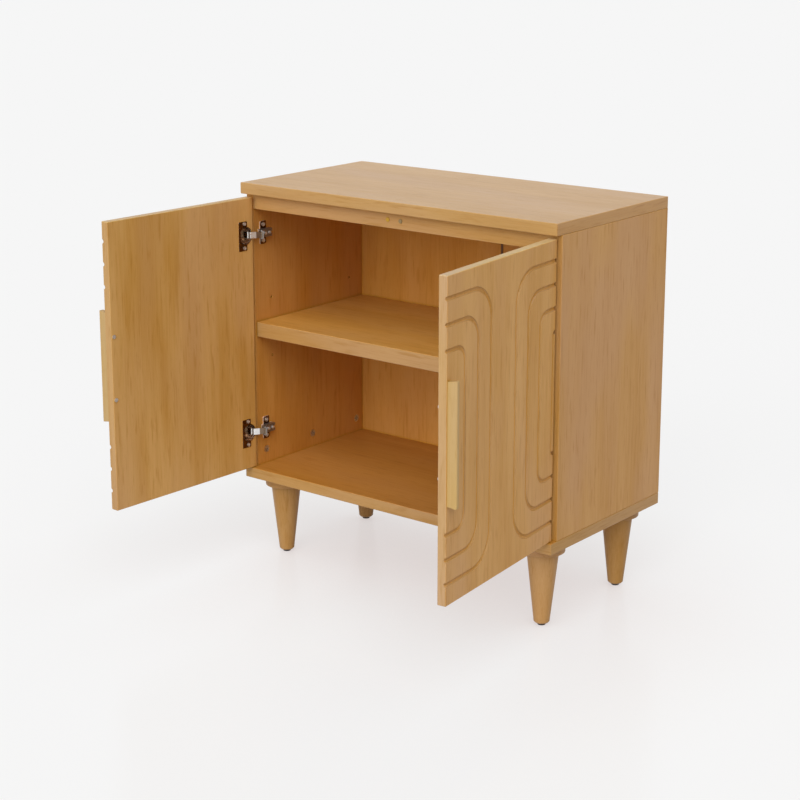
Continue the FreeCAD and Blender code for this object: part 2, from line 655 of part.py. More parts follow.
def arm_outline(drop):
    """Plan outline of a hinge arm from its tail to the hood over the pin, lowered by a wall thickness."""
    top_x = WALL_X - ARM_HEIGHT + drop
    knee = FreeCAD.Vector(top_x, CARCASS_FRONT + ARM_KNEE_SETBACK, 0)
    foot = FreeCAD.Vector(WALL_X - PLATE_THICKNESS, ARM_FOOT_Y, 0)
    slope = (ARM_PIN - knee).normalize()
    outward = slope.cross(Z_AXIS) * (ARM_EYE_RADIUS + ARM_EYE_GAP + ARM_WEB - drop)
    hood = ARM_PIN + outward + slope * (ARM_HOOD_REACH - drop)
    inward = (ARM_PIN - foot).normalize().cross(Z_AXIS) * (drop - ARM_EAR_RADIUS)
    points = [(foot.x, ARM_TAIL_Y), (top_x, ARM_TAIL_Y)]
    return points + [(p.x, p.y) for p in (knee, hood, ARM_PIN + inward, foot)]


def hinge_arm(hinge_z):
    """Channel-shaped arm with ears for the link pin, a hood over the link's eye and a slot at its tail."""
    z0, z1 = hinge_z - ARM_HALF, hinge_z + ARM_HALF
    low, high = hinge_z - ARM_INNER_HALF, hinge_z + ARM_INNER_HALF
    ear = rod(ARM_EAR_RADIUS, (ARM_PIN.x, ARM_PIN.y, z0), Z_AXIS, z1 - z0)
    arm = prism(arm_outline(0), z0, z1).fuse(ear).removeSplitter()
    mouth_y = ARM_PIN.y + ARM_EYE_RADIUS + ARM_MOUTH_GAP
    mouth_x = ARM_PIN.x - ARM_EYE_RADIUS - ARM_EYE_GAP
    mouth = box(mouth_x, HALF_WIDTH, ARM_PIN.y - ARM_EAR_RADIUS - OVERSHOOT, mouth_y, low, high)
    channel = prism(arm_outline(ARM_WEB), low, high)
    pin_hole = rod(ARM_PIN_RADIUS + PIN_SEAT_CLEARANCE, (ARM_PIN.x, ARM_PIN.y, z0), Z_AXIS, z1 - z0)
    cuts = [channel, mouth, pin_hole]
    for y in ADJUSTER_SPOTS_Y:
        start = (WALL_X - ARM_HEIGHT, y, hinge_z)
        cuts.append(rod(ADJUSTER_RADIUS + HOLE_CLEARANCE, start, X_AXIS, ARM_WEB))
    half_slot = ADJUSTER_RADIUS + HOLE_CLEARANCE
    web_x = WALL_X - ARM_HEIGHT
    tail_y = ARM_TAIL_Y + OVERSHOOT
    cuts.append(
        box(web_x, web_x + ARM_WEB, ADJUSTER_SPOTS_Y[-1], tail_y, hinge_z - half_slot, hinge_z + half_slot)
    )
    return arm.cut(cuts)


def hinge_adjusters(hinge_z):
    """Fixing and adjusting screws through an arm into the boss of its plate."""
    length = ARM_HEIGHT - PLATE_THICKNESS - BOSS_HEIGHT + ADJUSTER_BITE
    screws = []
    for y in ADJUSTER_SPOTS_Y:
        seat = (WALL_X - ARM_HEIGHT, y, hinge_z)
        screws.append(
            screw(seat, X_AXIS, ADJUSTER_HEAD_RADIUS, ADJUSTER_HEAD_HEIGHT, ADJUSTER_RADIUS, length)
        )
    return screws


def arm_pin(hinge_z):
    """Pin through the ears of an arm."""
    half = ARM_HALF + ARM_PIN_PROUD
    return rod(ARM_PIN_RADIUS, (ARM_PIN.x, ARM_PIN.y, hinge_z - half), Z_AXIS, 2 * half)


def link_leaf(start, end, z0, z1):
    """Flat leaf of a link between two plan points."""
    along = (end - start).normalize()
    across = along.cross(Z_AXIS) * (LINK_THICKNESS / 2)
    corners = [start + across, end + across, end - across, start - across]
    return prism([(p.x, p.y) for p in corners], z0, z1)


def hinge_link(hinge_z):
    """Cranked link from the arm pin to the cup pin, for a closed door."""
    z0, z1 = hinge_z - LINK_HEIGHT / 2, hinge_z + LINK_HEIGHT / 2
    parts = [link_leaf(ELBOW, CUP_PIN, z0, z1)]
    rounds = ((ARM_PIN, ARM_EYE_RADIUS), (CUP_PIN, CUP_EYE_RADIUS), (ELBOW, LINK_THICKNESS / 2))
    for centre, radius in rounds:
        parts.append(rod(radius, (centre.x, centre.y, z0), Z_AXIS, LINK_HEIGHT))
    link = link_leaf(ARM_PIN, ELBOW, z0, z1).fuse(parts).removeSplitter()
    bores = []
    for centre, radius in ((ARM_PIN, ARM_PIN_RADIUS), (CUP_PIN, CUP_PIN_RADIUS)):
        start = (centre.x, centre.y, z0)
        bores.append(rod(radius + PIN_RUNNING_CLEARANCE, start, Z_AXIS, LINK_HEIGHT))
    return link.cut(bores)


def hinge_cup(hinge_z):
    """Cup sunk in a closed door: shell, plate on the door's inner face, spring box and lugs for the pin."""
    into_door = Y_AXIS * -1
    centre = (CUP_CENTRE_X, DOOR_INNER_Y, hinge_z)
    body = rod(CUP_RADIUS, centre, into_door, CUP_DEPTH)
    mouth_start = (CUP_CENTRE_X, DOOR_INNER_Y + OVERSHOOT, hinge_z)
    hollow = rod(CUP_RADIUS - CUP_WALL, mouth_start, into_door, CUP_DEPTH - CUP_WALL + OVERSHOOT)
    rim = rod(FLANGE_RADIUS, centre, Y_AXIS, FLANGE_THICKNESS)
    screw_half = CUP_SCREW_SPACING / 2
    front = DOOR_INNER_Y + FLANGE_THICKNESS
    plate = box(
        CUP_CENTRE_X - FLANGE_FAR_REACH,
        CUP_CENTRE_X + FLANGE_NEAR_REACH,
        DOOR_INNER_Y,
        front,
        hinge_z - FLANGE_HEIGHT / 2,
        hinge_z + FLANGE_HEIGHT / 2,
    )
    plate = plate.makeFillet(FLANGE_CORNER_RADIUS, edges_along(plate, Y_AXIS))
    shell = body.fuse([rim, plate]).removeSplitter().cut(hollow)
    spring_box = box(
        CUP_CENTRE_X - CUP_RADIUS,
        CUP_CENTRE_X - CUP_RADIUS + SPRING_BOX_REACH,
        DOOR_INNER_Y - CUP_DEPTH,
        DOOR_INNER_Y - SPRING_BOX_DEPTH,
        hinge_z - SPRING_BOX_HEIGHT / 2,
        hinge_z + SPRING_BOX_HEIGHT / 2,
    )
    lug_low = ARM_INNER_HALF
    lug_high = ARM_INNER_HALF + LUG_THICKNESS
    notch = box(
        CUP_CENTRE_X, DOOR_EDGE_X, DOOR_INNER_Y, front, hinge_z - lug_high, hinge_z + lug_high
    )
    shell = shell.cut(notch)
    lugs = []
    for low, high in ((lug_low, lug_high), (-lug_high, -lug_low)):
        block = box(
            CUP_PIN.x - LUG_REACH,
            DOOR_EDGE_X,
            DOOR_INNER_Y - CUP_DEPTH,
            DOOR_INNER_Y - LUG_TOP_DEPTH,
            hinge_z + low,
            hinge_z + high,
        )
        lugs.append(block.common(body))
    cup = shell.fuse(lugs + [spring_box.common(body)]).removeSplitter()
    pin_start = (CUP_PIN.x, CUP_PIN.y, hinge_z - lug_high)
    holes = [rod(CUP_PIN_RADIUS + PIN_SEAT_CLEARANCE, pin_start, Z_AXIS, 2 * lug_high)]
    for offset in (-screw_half, screw_half):
        start = (CUP_CENTRE_X - CUP_SCREW_OFFSET, DOOR_INNER_Y, hinge_z + offset)
        holes.append(rod(CUP_SCREW_RADIUS + HOLE_CLEARANCE, start, Y_AXIS, FLANGE_THICKNESS))
    return cup.cut(holes)


def cup_screws(hinge_z):
    """Two screws through the plate of a cup into a closed door."""
    x = CUP_CENTRE_X - CUP_SCREW_OFFSET
    y = DOOR_INNER_Y + FLANGE_THICKNESS
    screws = []
    for offset in (-CUP_SCREW_SPACING / 2, CUP_SCREW_SPACING / 2):
        screws.append(
            screw(
                (x, y, hinge_z + offset),
                Y_AXIS * -1,
                CUP_SCREW_HEAD_RADIUS,
                CUP_SCREW_HEAD_HEIGHT,
                CUP_SCREW_RADIUS,
                CUP_SCREW_LENGTH,
            )
        )
    return screws


def cup_pin(hinge_z):
    """Pin through the lugs of a cup."""
    half = ARM_INNER_HALF + LUG_THICKNESS
    return rod(CUP_PIN_RADIUS, (CUP_PIN.x, CUP_PIN.y, hinge_z - half), Z_AXIS, 2 * half)


def groove(edge_x, inward, reach, half_height, corner):
    """Round-bottomed half racetrack that runs in from an upright door edge and back to it."""
    start_x = edge_x - inward * OVERSHOOT
    turn_x = edge_x + inward * (reach - corner)
    far_x = edge_x + inward * reach
    mid_x = turn_x + inward * corner * math.cos(math.pi / 4)
    turn_z = half_height - corner
    mid_z = turn_z + corner * math.sin(math.pi / 4)

    def point(x, z):
        return FreeCAD.Vector(x, DOOR_OUTER_Y, DOOR_MID_Z + z)

    top_arc = Part.Arc(point(turn_x, half_height), point(mid_x, mid_z), point(far_x, turn_z))
    low_arc = Part.Arc(point(far_x, -turn_z), point(mid_x, -mid_z), point(turn_x, -half_height))
    runs = [
        Part.makeLine(point(start_x, half_height), point(turn_x, half_height)),
        top_arc.toShape(),
        Part.makeLine(point(far_x, turn_z), point(far_x, -turn_z)),
        low_arc.toShape(),
        Part.makeLine(point(turn_x, -half_height), point(start_x, -half_height)),
    ]
    section = Part.Wire(Part.makeCircle(GROOVE_RADIUS, point(start_x, half_height), X_AXIS))
    return Part.Wire(runs).makePipeShell([section], True, False)


def door_grooves():
    """All grooves of a closed right door."""
    cuts = []
    for i in range(GROOVE_COUNT):
        half_height = DOOR_TOP - DOOR_MID_Z - GROOVE_END_INSET - i * GROOVE_PITCH
        reach = GROOVE_REACH - i * GROOVE_PITCH
        corner = GROOVE_CORNER_RADIUS - i * GROOVE_CORNER_STEP
        cuts.append(groove(DOOR_FREE_X, 1, reach, half_height, corner))
        cuts.append(groove(DOOR_EDGE_X, -1, reach, half_height, corner))
    half_height = DOOR_TOP - DOOR_MID_Z - GROOVE_END_INSET - GROOVE_COUNT * GROOVE_PITCH
    cuts.append(groove(DOOR_EDGE_X, -1, EDGE_GROOVE_REACH, half_height, EDGE_GROOVE_CORNER_RADIUS))
    return cuts


def handle_screw_spots():
    """Heights of the two screws of a handle."""
    return [DOOR_MID_Z - HANDLE_SCREW_SPACING / 2, DOOR_MID_Z + HANDLE_SCREW_SPACING / 2]


def door_panel():
    """Closed right door with its grooves, cup bores and screw holes."""
    into_door = Y_AXIS * -1
    panel = rounded_block(
        DOOR_FREE_X, DOOR_EDGE_X, DOOR_OUTER_Y, DOOR_INNER_Y, DOOR_BOTTOM, DOOR_TOP, DOOR_EDGE_RADIUS
    )
    holes = []
    for z in HINGE_HEIGHTS.values():
        centre = (CUP_CENTRE_X, DOOR_INNER_Y, z)
        holes.append(rod(CUP_RADIUS + HOLE_CLEARANCE, centre, into_door, CUP_DEPTH + HOLE_CLEARANCE))
        for offset in (-CUP_SCREW_SPACING / 2, CUP_SCREW_SPACING / 2):
            start = (CUP_CENTRE_X - CUP_SCREW_OFFSET, DOOR_INNER_Y, z + offset)
            holes.append(rod(CUP_SCREW_RADIUS + HOLE_CLEARANCE, start, into_door, CUP_SCREW_LENGTH))
    for z in handle_screw_spots():
        start = (HANDLE_X, DOOR_INNER_Y, z)
        holes.append(rod(HANDLE_SCREW_RADIUS + HOLE_CLEARANCE, start, into_door, DOOR_THICKNESS))
    return panel.cut(door_grooves()).cut(holes)


def handle():
    """Upright bar beside the free edge of a closed right door, its ends cut back towards the door."""
    near_x = HANDLE_X - HANDLE_WIDTH / 2
    outer = DOOR_OUTER_Y - HANDLE_PROJECTION
    tip = HANDLE_LENGTH / 2
    root = tip - HANDLE_END_SLANT
    outline = [(DOOR_OUTER_Y, -root), (DOOR_OUTER_Y, root), (outer, tip), (outer, -tip)]
    corners = [FreeCAD.Vector(near_x, y, DOOR_MID_Z + z) for y, z in outline]
    bar = Part.Face(Part.makePolygon(corners + corners[:1])).extrude(X_AXIS * HANDLE_WIDTH)
    rims = [edge for edge in bar.Edges if abs(edge.CenterOfMass.y - outer) < TOUCHING]
    bar = bar.makeFillet(HANDLE_EDGE_RADIUS, rims)
    bites = []
    for z in handle_screw_spots():
        depth = HANDLE_SCREW_BITE + HOLE_END_GAP
        start = (HANDLE_X, DOOR_OUTER_Y, z)
        bites.append(rod(HANDLE_SCREW_RADIUS + HOLE_CLEARANCE, start, Y_AXIS * -1, depth))
    return bar.cut(bites)


def handle_screws():
    """Two screws from inside a closed right door into its handle."""
    length = DOOR_THICKNESS + HANDLE_SCREW_BITE
    screws = []
    for z in handle_screw_spots():
        screws.append(
            screw(
                (HANDLE_X, DOOR_INNER_Y, z),
                Y_AXIS * -1,
                HANDLE_SCREW_HEAD_RADIUS,
                HANDLE_SCREW_HEAD_HEIGHT,
                HANDLE_SCREW_RADIUS,
                length,
            )
        )
    return Part.makeCompound(screws)


def swung_link(shape, opening):
    """Link turned about its arm pin to suit a door opening."""
    swung = shape.copy()
    swung.rotate(ARM_PIN, Z_AXIS, -LINK_TURN_SHARE * opening)
    return swung


def swung_door(shape, opening):
    """Piece of a closed right door, moved to a door opening."""
    turn = FreeCAD.Rotation(Z_AXIS, -LINK_TURN_SHARE * opening)
    carried = ARM_PIN + turn.multVec(CUP_PIN - ARM_PIN)
    swung = shape.copy()
    swung.rotate(CUP_PIN, Z_AXIS, opening)
    swung.translate(carried - CUP_PIN)
    return swung


def fixed_hinge_pieces():
    """Plates, arms, screws and pins that stay on the side panels."""
    pieces = {}
    screws, adjusters, pins = [], [], []
    for level, z in HINGE_HEIGHTS.items():
        for name, shape in (("hinge_plate", hinge_plate(z)), ("hinge_arm", hinge_arm(z))):
            pieces["right_" + level + "_" + name] = shape
            pieces["left_" + level + "_" + name] = mirrored(shape)
        screws += hinge_plate_screws(z)
        adjusters += hinge_adjusters(z)
        pins.append(arm_pin(z))
    pieces["hinge_plate_screws"] = Part.makeCompound(both_sides(screws))
    pieces["hinge_adjusting_screws"] = Part.makeCompound(both_sides(adjusters))
    pieces["hinge_arm_pins"] = Part.makeCompound(both_sides(pins))
    return pieces


def door_pieces(side, opening):
    """Links, cups, panel and handle of one door at its opening."""
    place = mirrored if side == "left" else Part.Shape.copy
    pieces = {}
    for level, z in HINGE_HEIGHTS.items():
        pieces[side + "_" + level + "_hinge_link"] = place(swung_link(hinge_link(z), opening))
        pieces[side + "_" + level + "_hinge_cup"] = place(swung_door(hinge_cup(z), opening))
    heights = list(HINGE_HEIGHTS.values())
    screws = Part.makeCompound([one for z in heights for one in cup_screws(z)])
    pins = Part.makeCompound([cup_pin(z) for z in heights])
    riders = (
        ("hinge_cup_screws", screws),
        ("hinge_cup_pins", pins),
        ("door_panel", door_panel()),
        ("handle", handle()),
        ("handle_screws", handle_screws()),
    )
    for name, shape in riders:
        pieces[side + "_" + name] = place(swung_door(shape, opening))
    return pieces


def bumper():
    """Soft stop on the front of the rail, right of the middle."""
    centre = (BUMPER_OFFSET, CARCASS_FRONT, TOP_UNDERSIDE - BUMPER_TOP_DISTANCE)
    pad = rod(BUMPER_RADIUS, centre, Y_AXIS * -1, BUMPER_THICKNESS)
    outer = CARCASS_FRONT - BUMPER_THICKNESS
    rims = [edge for edge in pad.Edges if abs(edge.CenterOfMass.y - outer) < TOUCHING]
    return pad.makeFillet(BUMPER_EDGE_RADIUS, rims)


def all_pieces():
    """Every piece of the cabinet by name."""
    right_side = side_panel()
    pieces = {
        "top_panel": top_panel(),
        "bottom_panel": bottom_panel(),
        "left_side_panel": mirrored(right_side),
        "right_side_panel": right_side,
        "top_front_rail": top_front_rail(),
        "shelf": shelf(),
        "shelf_pins": shelf_pins(),
        "left_door_bumper": mirrored(bumper()),
        "right_door_bumper": bumper(),
    }
    pieces.update(back_pieces())
    pieces.update(carcass_fasteners())
    pieces.update(leg_pieces())
    pieces.update(fixed_hinge_pieces())
    pieces.update(door_pieces("left", LEFT_DOOR_OPEN))
    pieces.update(door_pieces("right", RIGHT_DOOR_OPEN))
    return pieces


os.makedirs("parts", exist_ok=True)
for node, shape in all_pieces().items():
    shape.exportStep("parts/" + node + ".step")
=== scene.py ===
"""Dress, light and frame a storage side table whose two grooved doors stand open."""

import logging
import math
from dataclasses import dataclass, replace
from enum import Enum
from typing import Any, ClassVar, Iterable, Mapping

import bpy
from mathutils import Matrix, Vector


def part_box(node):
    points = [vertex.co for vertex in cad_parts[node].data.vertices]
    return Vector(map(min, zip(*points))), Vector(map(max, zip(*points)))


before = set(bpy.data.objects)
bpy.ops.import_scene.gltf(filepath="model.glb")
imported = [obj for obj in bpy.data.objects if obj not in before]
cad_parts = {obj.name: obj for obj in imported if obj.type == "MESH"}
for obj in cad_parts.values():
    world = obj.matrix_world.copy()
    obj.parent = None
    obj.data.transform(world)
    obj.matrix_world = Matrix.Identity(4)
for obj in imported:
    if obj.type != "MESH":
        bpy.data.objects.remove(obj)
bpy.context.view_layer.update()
LOG = logging.getLogger("side_table")

Colour = tuple[float, float, float]
Direction = tuple[float, float, float]
Span = tuple[float, float]
Node = bpy.types.Node
NodeTree = bpy.types.NodeTree
Socket = bpy.types.NodeSocket
Sockets = Mapping[str, Socket]
Value = Socket | float | Colour

WHITE: Colour = (1.0, 1.0, 1.0)
RIGHTWARD: Direction = (1.0, 0.0, 0.0)
LEFTWARD: Direction = (-1.0, 0.0, 0.0)
BACKWARD: Direction = (0.0, 1.0, 0.0)
UPWARD: Direction = (0.0, 0.0, 1.0)
NO_SIDE: Direction = (0.0, 0.0, 0.0)
# A face looks along a direction when the cosine between them is more than this
LOOKS_ALONG = 0.6


class Side(Enum):
    """Which door a piece belongs to."""

    LEFT = "left"
    RIGHT = "right"


class Level(Enum):
    """Which hinge of a door a piece belongs to."""

    UPPER = "upper"
    LOWER = "lower"


class Grain(Enum):
    """Which way the fibres of a board run."""

    UPRIGHT = UPWARD
    LENGTHWISE = RIGHTWARD


class Desk:
    """Places and wires nodes in one shader tree."""

    # Places of the first value, the second value and the result among a Mix node's sockets
    COLOUR_PLACES = (6, 7, 2)
    VECTOR_PLACES = (4, 5, 1)

    def __init__(self, tree: NodeTree) -> None:
        """Start on a tree.

        Args:
            tree: The node tree of a material, a group or a world.
        """
        self.tree = tree

    def add(self, kind: str, **settings: Any) -> Node:
        """Place a node.

        Args:
            kind: The node's type name.
            settings: Properties to set on it.

        Returns:
            The new node.
        """
        node = self.tree.nodes.new(kind)
        for name, value in settings.items():
            setattr(node, name, value)
        return node

    def feed(self, target: Socket, value: Value) -> None:
        """Wire a socket to another one, or give it a constant.

        Args:
            target: The input to fill.
            value: An output socket, a number, a vector or a colour.
        """
        if isinstance(value, Socket):
            self.tree.links.new(value, target)
        elif target.type == "RGBA":
            target.default_value = (*value, 1.0)
        else:
            target.default_value = value

    def sum_up(self, operation: str, first: Value, second: Value = 0.0, clamp: bool = False) -> Socket:
        """Do one step of arithmetic.

        Args:
            operation: The Math node's operation.
            first: First operand.
            second: Second operand.
            clamp: Whether to keep the result between 0 and 1.

        Returns:
            The result.
        """
        node = self.add("ShaderNodeMath", operation=operation, use_clamp=clamp)
        self.feed(node.inputs[0], first)
        self.feed(node.inputs[1], second)
        return node.outputs[0]

    def remap(self, value: Value, span: Span, to: tuple[Value, Value] = (0.0, 1.0)) -> Socket:
        """Carry a value from one range to another, clamped.

        Args:
            value: What to carry over.
            span: Start and end of the range it is in.
            to: Start and end of the new range.

        Returns:
            The value in the new range.
        """
        node = self.add("ShaderNodeMapRange")
        names = ("Value", "From Min", "From Max", "To Min", "To Max")
        for name, entry in zip(names, (value, *span, *to)):
            self.feed(node.inputs[name], entry)
        return node.outputs[0]

    def blend(self, factor: Value, first: Value, second: Value, multiply: bool = False) -> Socket:
        """Mix two colours.

        Args:
            factor: Share of the second.
            first: Colour at factor 0.
            second: Colour at factor 1.
            multiply: Whether the second is multiplied into the first.

        Returns:
            The mixed colour.
        """
        kind = "MULTIPLY" if multiply else "MIX"
        node = self.add("ShaderNodeMix", data_type="RGBA", blend_type=kind)
        first_place, second_place, result = self.COLOUR_PLACES
        self.feed(node.inputs[0], factor)
        self.feed(node.inputs[first_place], first)
        self.feed(node.inputs[second_place], second)
        return node.outputs[result]

    def pick(self, factor: Value, first: Value, second: Value) -> Socket:
        """Choose between two vectors.

        Args:
            factor: 0 for the first, 1 for the second.
            first: First vector.
            second: Second vector.

        Returns:
            The chosen vector.
        """
        node = self.add("ShaderNodeMix", data_type="VECTOR")
        first_place, second_place, result = self.VECTOR_PLACES
        self.feed(node.inputs[0], factor)
        self.feed(node.inputs[first_place], first)
        self.feed(node.inputs[second_place], second)
        return node.outputs[result]

    def mix(self, factor: Value, first: Socket, second: Socket) -> Socket:
        """Mix two shaders.

        Args:
            factor: Share of the second.
            first: Shader at factor 0.
            second: Shader at factor 1.

        Returns:
            The mixed shader.
        """
        node = self.add("ShaderNodeMixShader")
        for place, value in enumerate((factor, first, second)):
            self.feed(node.inputs[place], value)
        return node.outputs[0]

    def dot(self, first: Value, second: Value) -> Socket:
        """Measure how far two directions agree.

        Args:
            first: First direction.
            second: Second direction.

        Returns:
            Their dot product.
        """
        node = self.add("ShaderNodeVectorMath", operation="DOT_PRODUCT")
        self.feed(node.inputs[0], first)
        self.feed(node.inputs[1], second)
        return node.outputs["Value"]

    def squareness(self, normal: Value, direction: Value) -> Socket:
        """Measure how squarely a face looks along a direction or against it."""
        return self.sum_up("ABSOLUTE", self.dot(normal, direction))

    def bump(self, height: Value, normal: Value, strength: float, depth: float) -> Socket:
        """Raise fine relief on a surface.

        Args:
            height: The relief, from 0 to 1.
            normal: The surface's own normal.
            strength: Share of the relief that shows.
            depth: Depth of the relief.

        Returns:
            The normal with the relief.
        """
        node = self.add("ShaderNodeBump")
        self.feed(node.inputs["Strength"], strength)
        self.feed(node.inputs["Distance"], depth)
        self.feed(node.inputs["Height"], height)
        self.feed(node.inputs["Normal"], normal)
        return node.outputs[0]

    def shown(self) -> Socket:
        """Tell the rays that show a surface from those that carry its light to other surfaces.

        Returns:
            1 on camera, mirrored and transmitted rays, and 0 on the others.
        """
        path = self.add("ShaderNodeLightPath").outputs
        mirrored = self.sum_up("MAXIMUM", path["Is Glossy Ray"], path["Is Transmission Ray"])
        return self.sum_up("MAXIMUM", path["Is Camera Ray"], mirrored)

    def group(self, tree: NodeTree, **values: Value) -> Node:
        """Place a node group and fill its inputs.

        Args:
            tree: The group.
            values: Inputs by name, with spaces as underscores.

        Returns:
            The group node.
        """
        node = self.add("ShaderNodeGroup", node_tree=tree)
        for name, value in values.items():
            self.feed(node.inputs[name.replace("_", " ")], value)
        return node


def new_group(
    name: str, inputs: Mapping[str, str], outputs: Mapping[str, str]
) -> tuple[Desk, Sockets, Sockets]:
    """Start a shader node group.

    Args:
        name: The group's name.
        inputs: Socket kind by input name.
        outputs: Socket kind by output name.

    Returns:
        A desk on the group, what its inputs give and where its outputs are fed.
    """
    tree = bpy.data.node_groups.new(name, "ShaderNodeTree")
    for direction, sockets in (("INPUT", inputs), ("OUTPUT", outputs)):
        for label, kind in sockets.items():
            tree.interface.new_socket(name=label, in_out=direction, socket_type="NodeSocket" + kind)
    desk = Desk(tree)
    return desk, desk.add("NodeGroupInput").outputs, desk.add("NodeGroupOutput").inputs


@dataclass(frozen=True)
class Noise:
    """One layer of noise, drawn out along Z.

    Attributes:
        scale: Marks per metre across Z.
        along: Factor on Z: the smaller it is, the longer the marks.
        detail: Octaves.
        rough: Strength of the finer octaves.
    """

    scale: float
    along: float = 1.0
    detail: float = 2.0
    rough: float = 0.5

    def place(self, desk: Desk, where: Socket) -> Node:
        """Place the layer's node.

        Args:
            desk: A desk on the group.
            where: The coordinates.

        Returns:
            The noise node.
        """
        drawn = desk.add("ShaderNodeMapping")
        desk.feed(drawn.inputs["Vector"], where)
        desk.feed(drawn.inputs["Scale"], (1.0, 1.0, self.along))
        node = desk.add("ShaderNodeTexNoise", noise_dimensions="3D")
        desk.feed(node.inputs["Vector"], drawn.outputs[0])
        desk.feed(node.inputs["Scale"], self.scale)
        desk.feed(node.inputs["Detail"], self.detail)
        desk.feed(node.inputs["Roughness"], self.rough)
        return node

    def sample(self, desk: Desk, where: Socket) -> Socket:
        """Place the layer and give its value, which lies around one half."""
        return self.place(desk, where).outputs["Fac"]


@dataclass(frozen=True)
class WoodFigure:
    """Pale close-grained veneer: soft bands, streaks, fibres and short pores along the grain, with tinted
    edges, a painted highlight above a height and painted shade on the faces on one side.
    """

    INPUTS: ClassVar[Mapping[str, str]] = {
        "Vector": "Vector",
        "Shift": "Vector",
        "Normal": "Vector",
        "Along": "Vector",
        "Banded": "Float",
        "Face": "Vector",
        "Edge Tint": "Color",
        "One Side": "Vector",
        "One Side Tint": "Color",
        "Upper Tint": "Color",
        "Upper From": "Float",
        "Pale": "Color",
        "Deep": "Color",
        "Vein": "Color",
        "Blush": "Color",
        "Banding": "Float",
        "Streaks": "Float",
        "Pores": "Float",
        "Sheen": "Float",
    }
    OUTPUTS: ClassVar[Mapping[str, str]] = {"Color": "Color", "Roughness": "Float", "Height": "Float"}

    drift: Noise = Noise(4.5, 0.30, detail=3.0)
    drift_reach: Direction = (0.034, 0.034, 0.0)
    bands: Noise = Noise(15.0, 0.13, detail=3.0, rough=0.55)
    band_span: Span = (0.36, 0.64)
    band_middle: float = 0.26
    rings: Noise = Noise(62.0, 0.04, detail=4.0, rough=0.62)
    ring_span: Span = (0.32, 0.68)
    ring_share: float = 0.26
    fibre: Noise = Noise(820.0, 0.012, rough=0.6)
    fibre_span: Span = (0.34, 0.66)
    fibre_share: float = 0.28
    clouds: Noise = Noise(9.0, 0.25)
    cloud_span: Span = (0.42, 0.64)
    cloud_share: float = 0.55
    lines: Noise = Noise(240.0, 0.018, rough=0.6)
    line_span: Span = (0.55, 0.72)
    patch_span: Span = (0.40, 0.60)
    patch_shares: Span = (0.2, 0.6)
    dashes: Noise = Noise(175.0, 0.10)
    dash_span: Span = (0.56, 0.76)
    dash_share: float = 0.85
    flecks: Noise = Noise(760.0, 0.055, detail=1.0)
    fleck_span: Span = (0.66, 0.76)
    sheen_span: Span = (0.3, 0.7)
    sheen_swing: float = 0.05
    pore_dullness: float = 0.15
    relief_span: Span = (0.25, 0.75)

    def build(self) -> NodeTree:
        """Make the group.

        Returns:
            The group.
        """
        desk, given, made = new_group("Wood figure", self.INPUTS, self.OUTPUTS)
        place = self._turn_grain(desk, given)
        swayed = self._sway(desk, place)
        bands = self.bands.sample(desk, swayed)
        fibre = self.fibre.sample(desk, place)
        flecks = desk.remap(self.flecks.sample(desk, place), self.fleck_span)
        pore = desk.sum_up("MULTIPLY", flecks, given["Pores"])

        tone = self._tone(desk, given, swayed, bands, fibre)
        colour = desk.blend(tone, given["Pale"], given["Deep"])
        clouds = desk.remap(self.clouds.sample(desk, swayed), self.cloud_span, (0.0, self.cloud_share))
        colour = desk.blend(clouds, colour, given["Blush"])
        colour = self._streak(desk, given, swayed, bands, colour)
        colour = desk.blend(pore, colour, given["Vein"])
        desk.feed(made["Color"], self._tint(desk, given, colour))

        swing = desk.remap(fibre, self.sheen_span, (-self.sheen_swing, self.sheen_swing))
        dull = desk.sum_up("MULTIPLY", pore, self.pore_dullness)
        rough = desk.sum_up("ADD", given["Sheen"], swing)
        desk.feed(made["Roughness"], desk.sum_up("ADD", rough, dull))
        desk.feed(made["Height"], desk.sum_up("SUBTRACT", desk.remap(fibre, self.relief_span), pore))
        return desk.tree

    @staticmethod
    def _turn_grain(desk: Desk, given: Sockets) -> Socket:
        """Shift coordinates to a board's own wood, and turn them so that its fibres run along Z.

        On the end of a board with banded edges they run along the band, in the cabinet's depth.

        Args:
            desk: A desk on the group.
            given: The group's inputs.

        Returns:
            The turned coordinates.
        """
        moved = desk.add("ShaderNodeVectorMath", operation="ADD")
        desk.feed(moved.inputs[0], given["Vector"])
        desk.feed(moved.inputs[1], given["Shift"])
        parts = desk.add("ShaderNodeSeparateXYZ")
        desk.feed(parts.inputs[0], moved.outputs[0])
        turned = []
        for order in ("YZX", "XZY"):
            join = desk.add("ShaderNodeCombineXYZ")
            for place, axis in enumerate(order):
                desk.feed(join.inputs[place], parts.outputs[axis])
            turned.append(join.outputs[0])
        lengthwise, inward = turned
        along = desk.add("ShaderNodeSeparateXYZ")
        desk.feed(along.inputs[0], given["Along"])
        board = desk.pick(along.outputs["X"], moved.outputs[0], lengthwise)
        square = desk.squareness(given["Normal"], given["Along"])
        on_end = desk.sum_up("GREATER_THAN", square, LOOKS_ALONG)
        return desk.pick(desk.sum_up("MULTIPLY", on_end, given["Banded"]), board, inward)

    def _sway(self, desk: Desk, place: Socket) -> Socket:
        """Let the grain wander a little from its line.

        Args:
            desk: A desk on the group.
            place: Coordinates along the grain.

        Returns:
            The coordinates, swayed across the grain.
        """
        drift = self.drift.place(desk, place)
        sway = desk.add("ShaderNodeVectorMath", operation="MULTIPLY_ADD")
        for slot, value in enumerate((drift.outputs["Color"], self.drift_reach, place)):
            desk.feed(sway.inputs[slot], value)
        return sway.outputs[0]

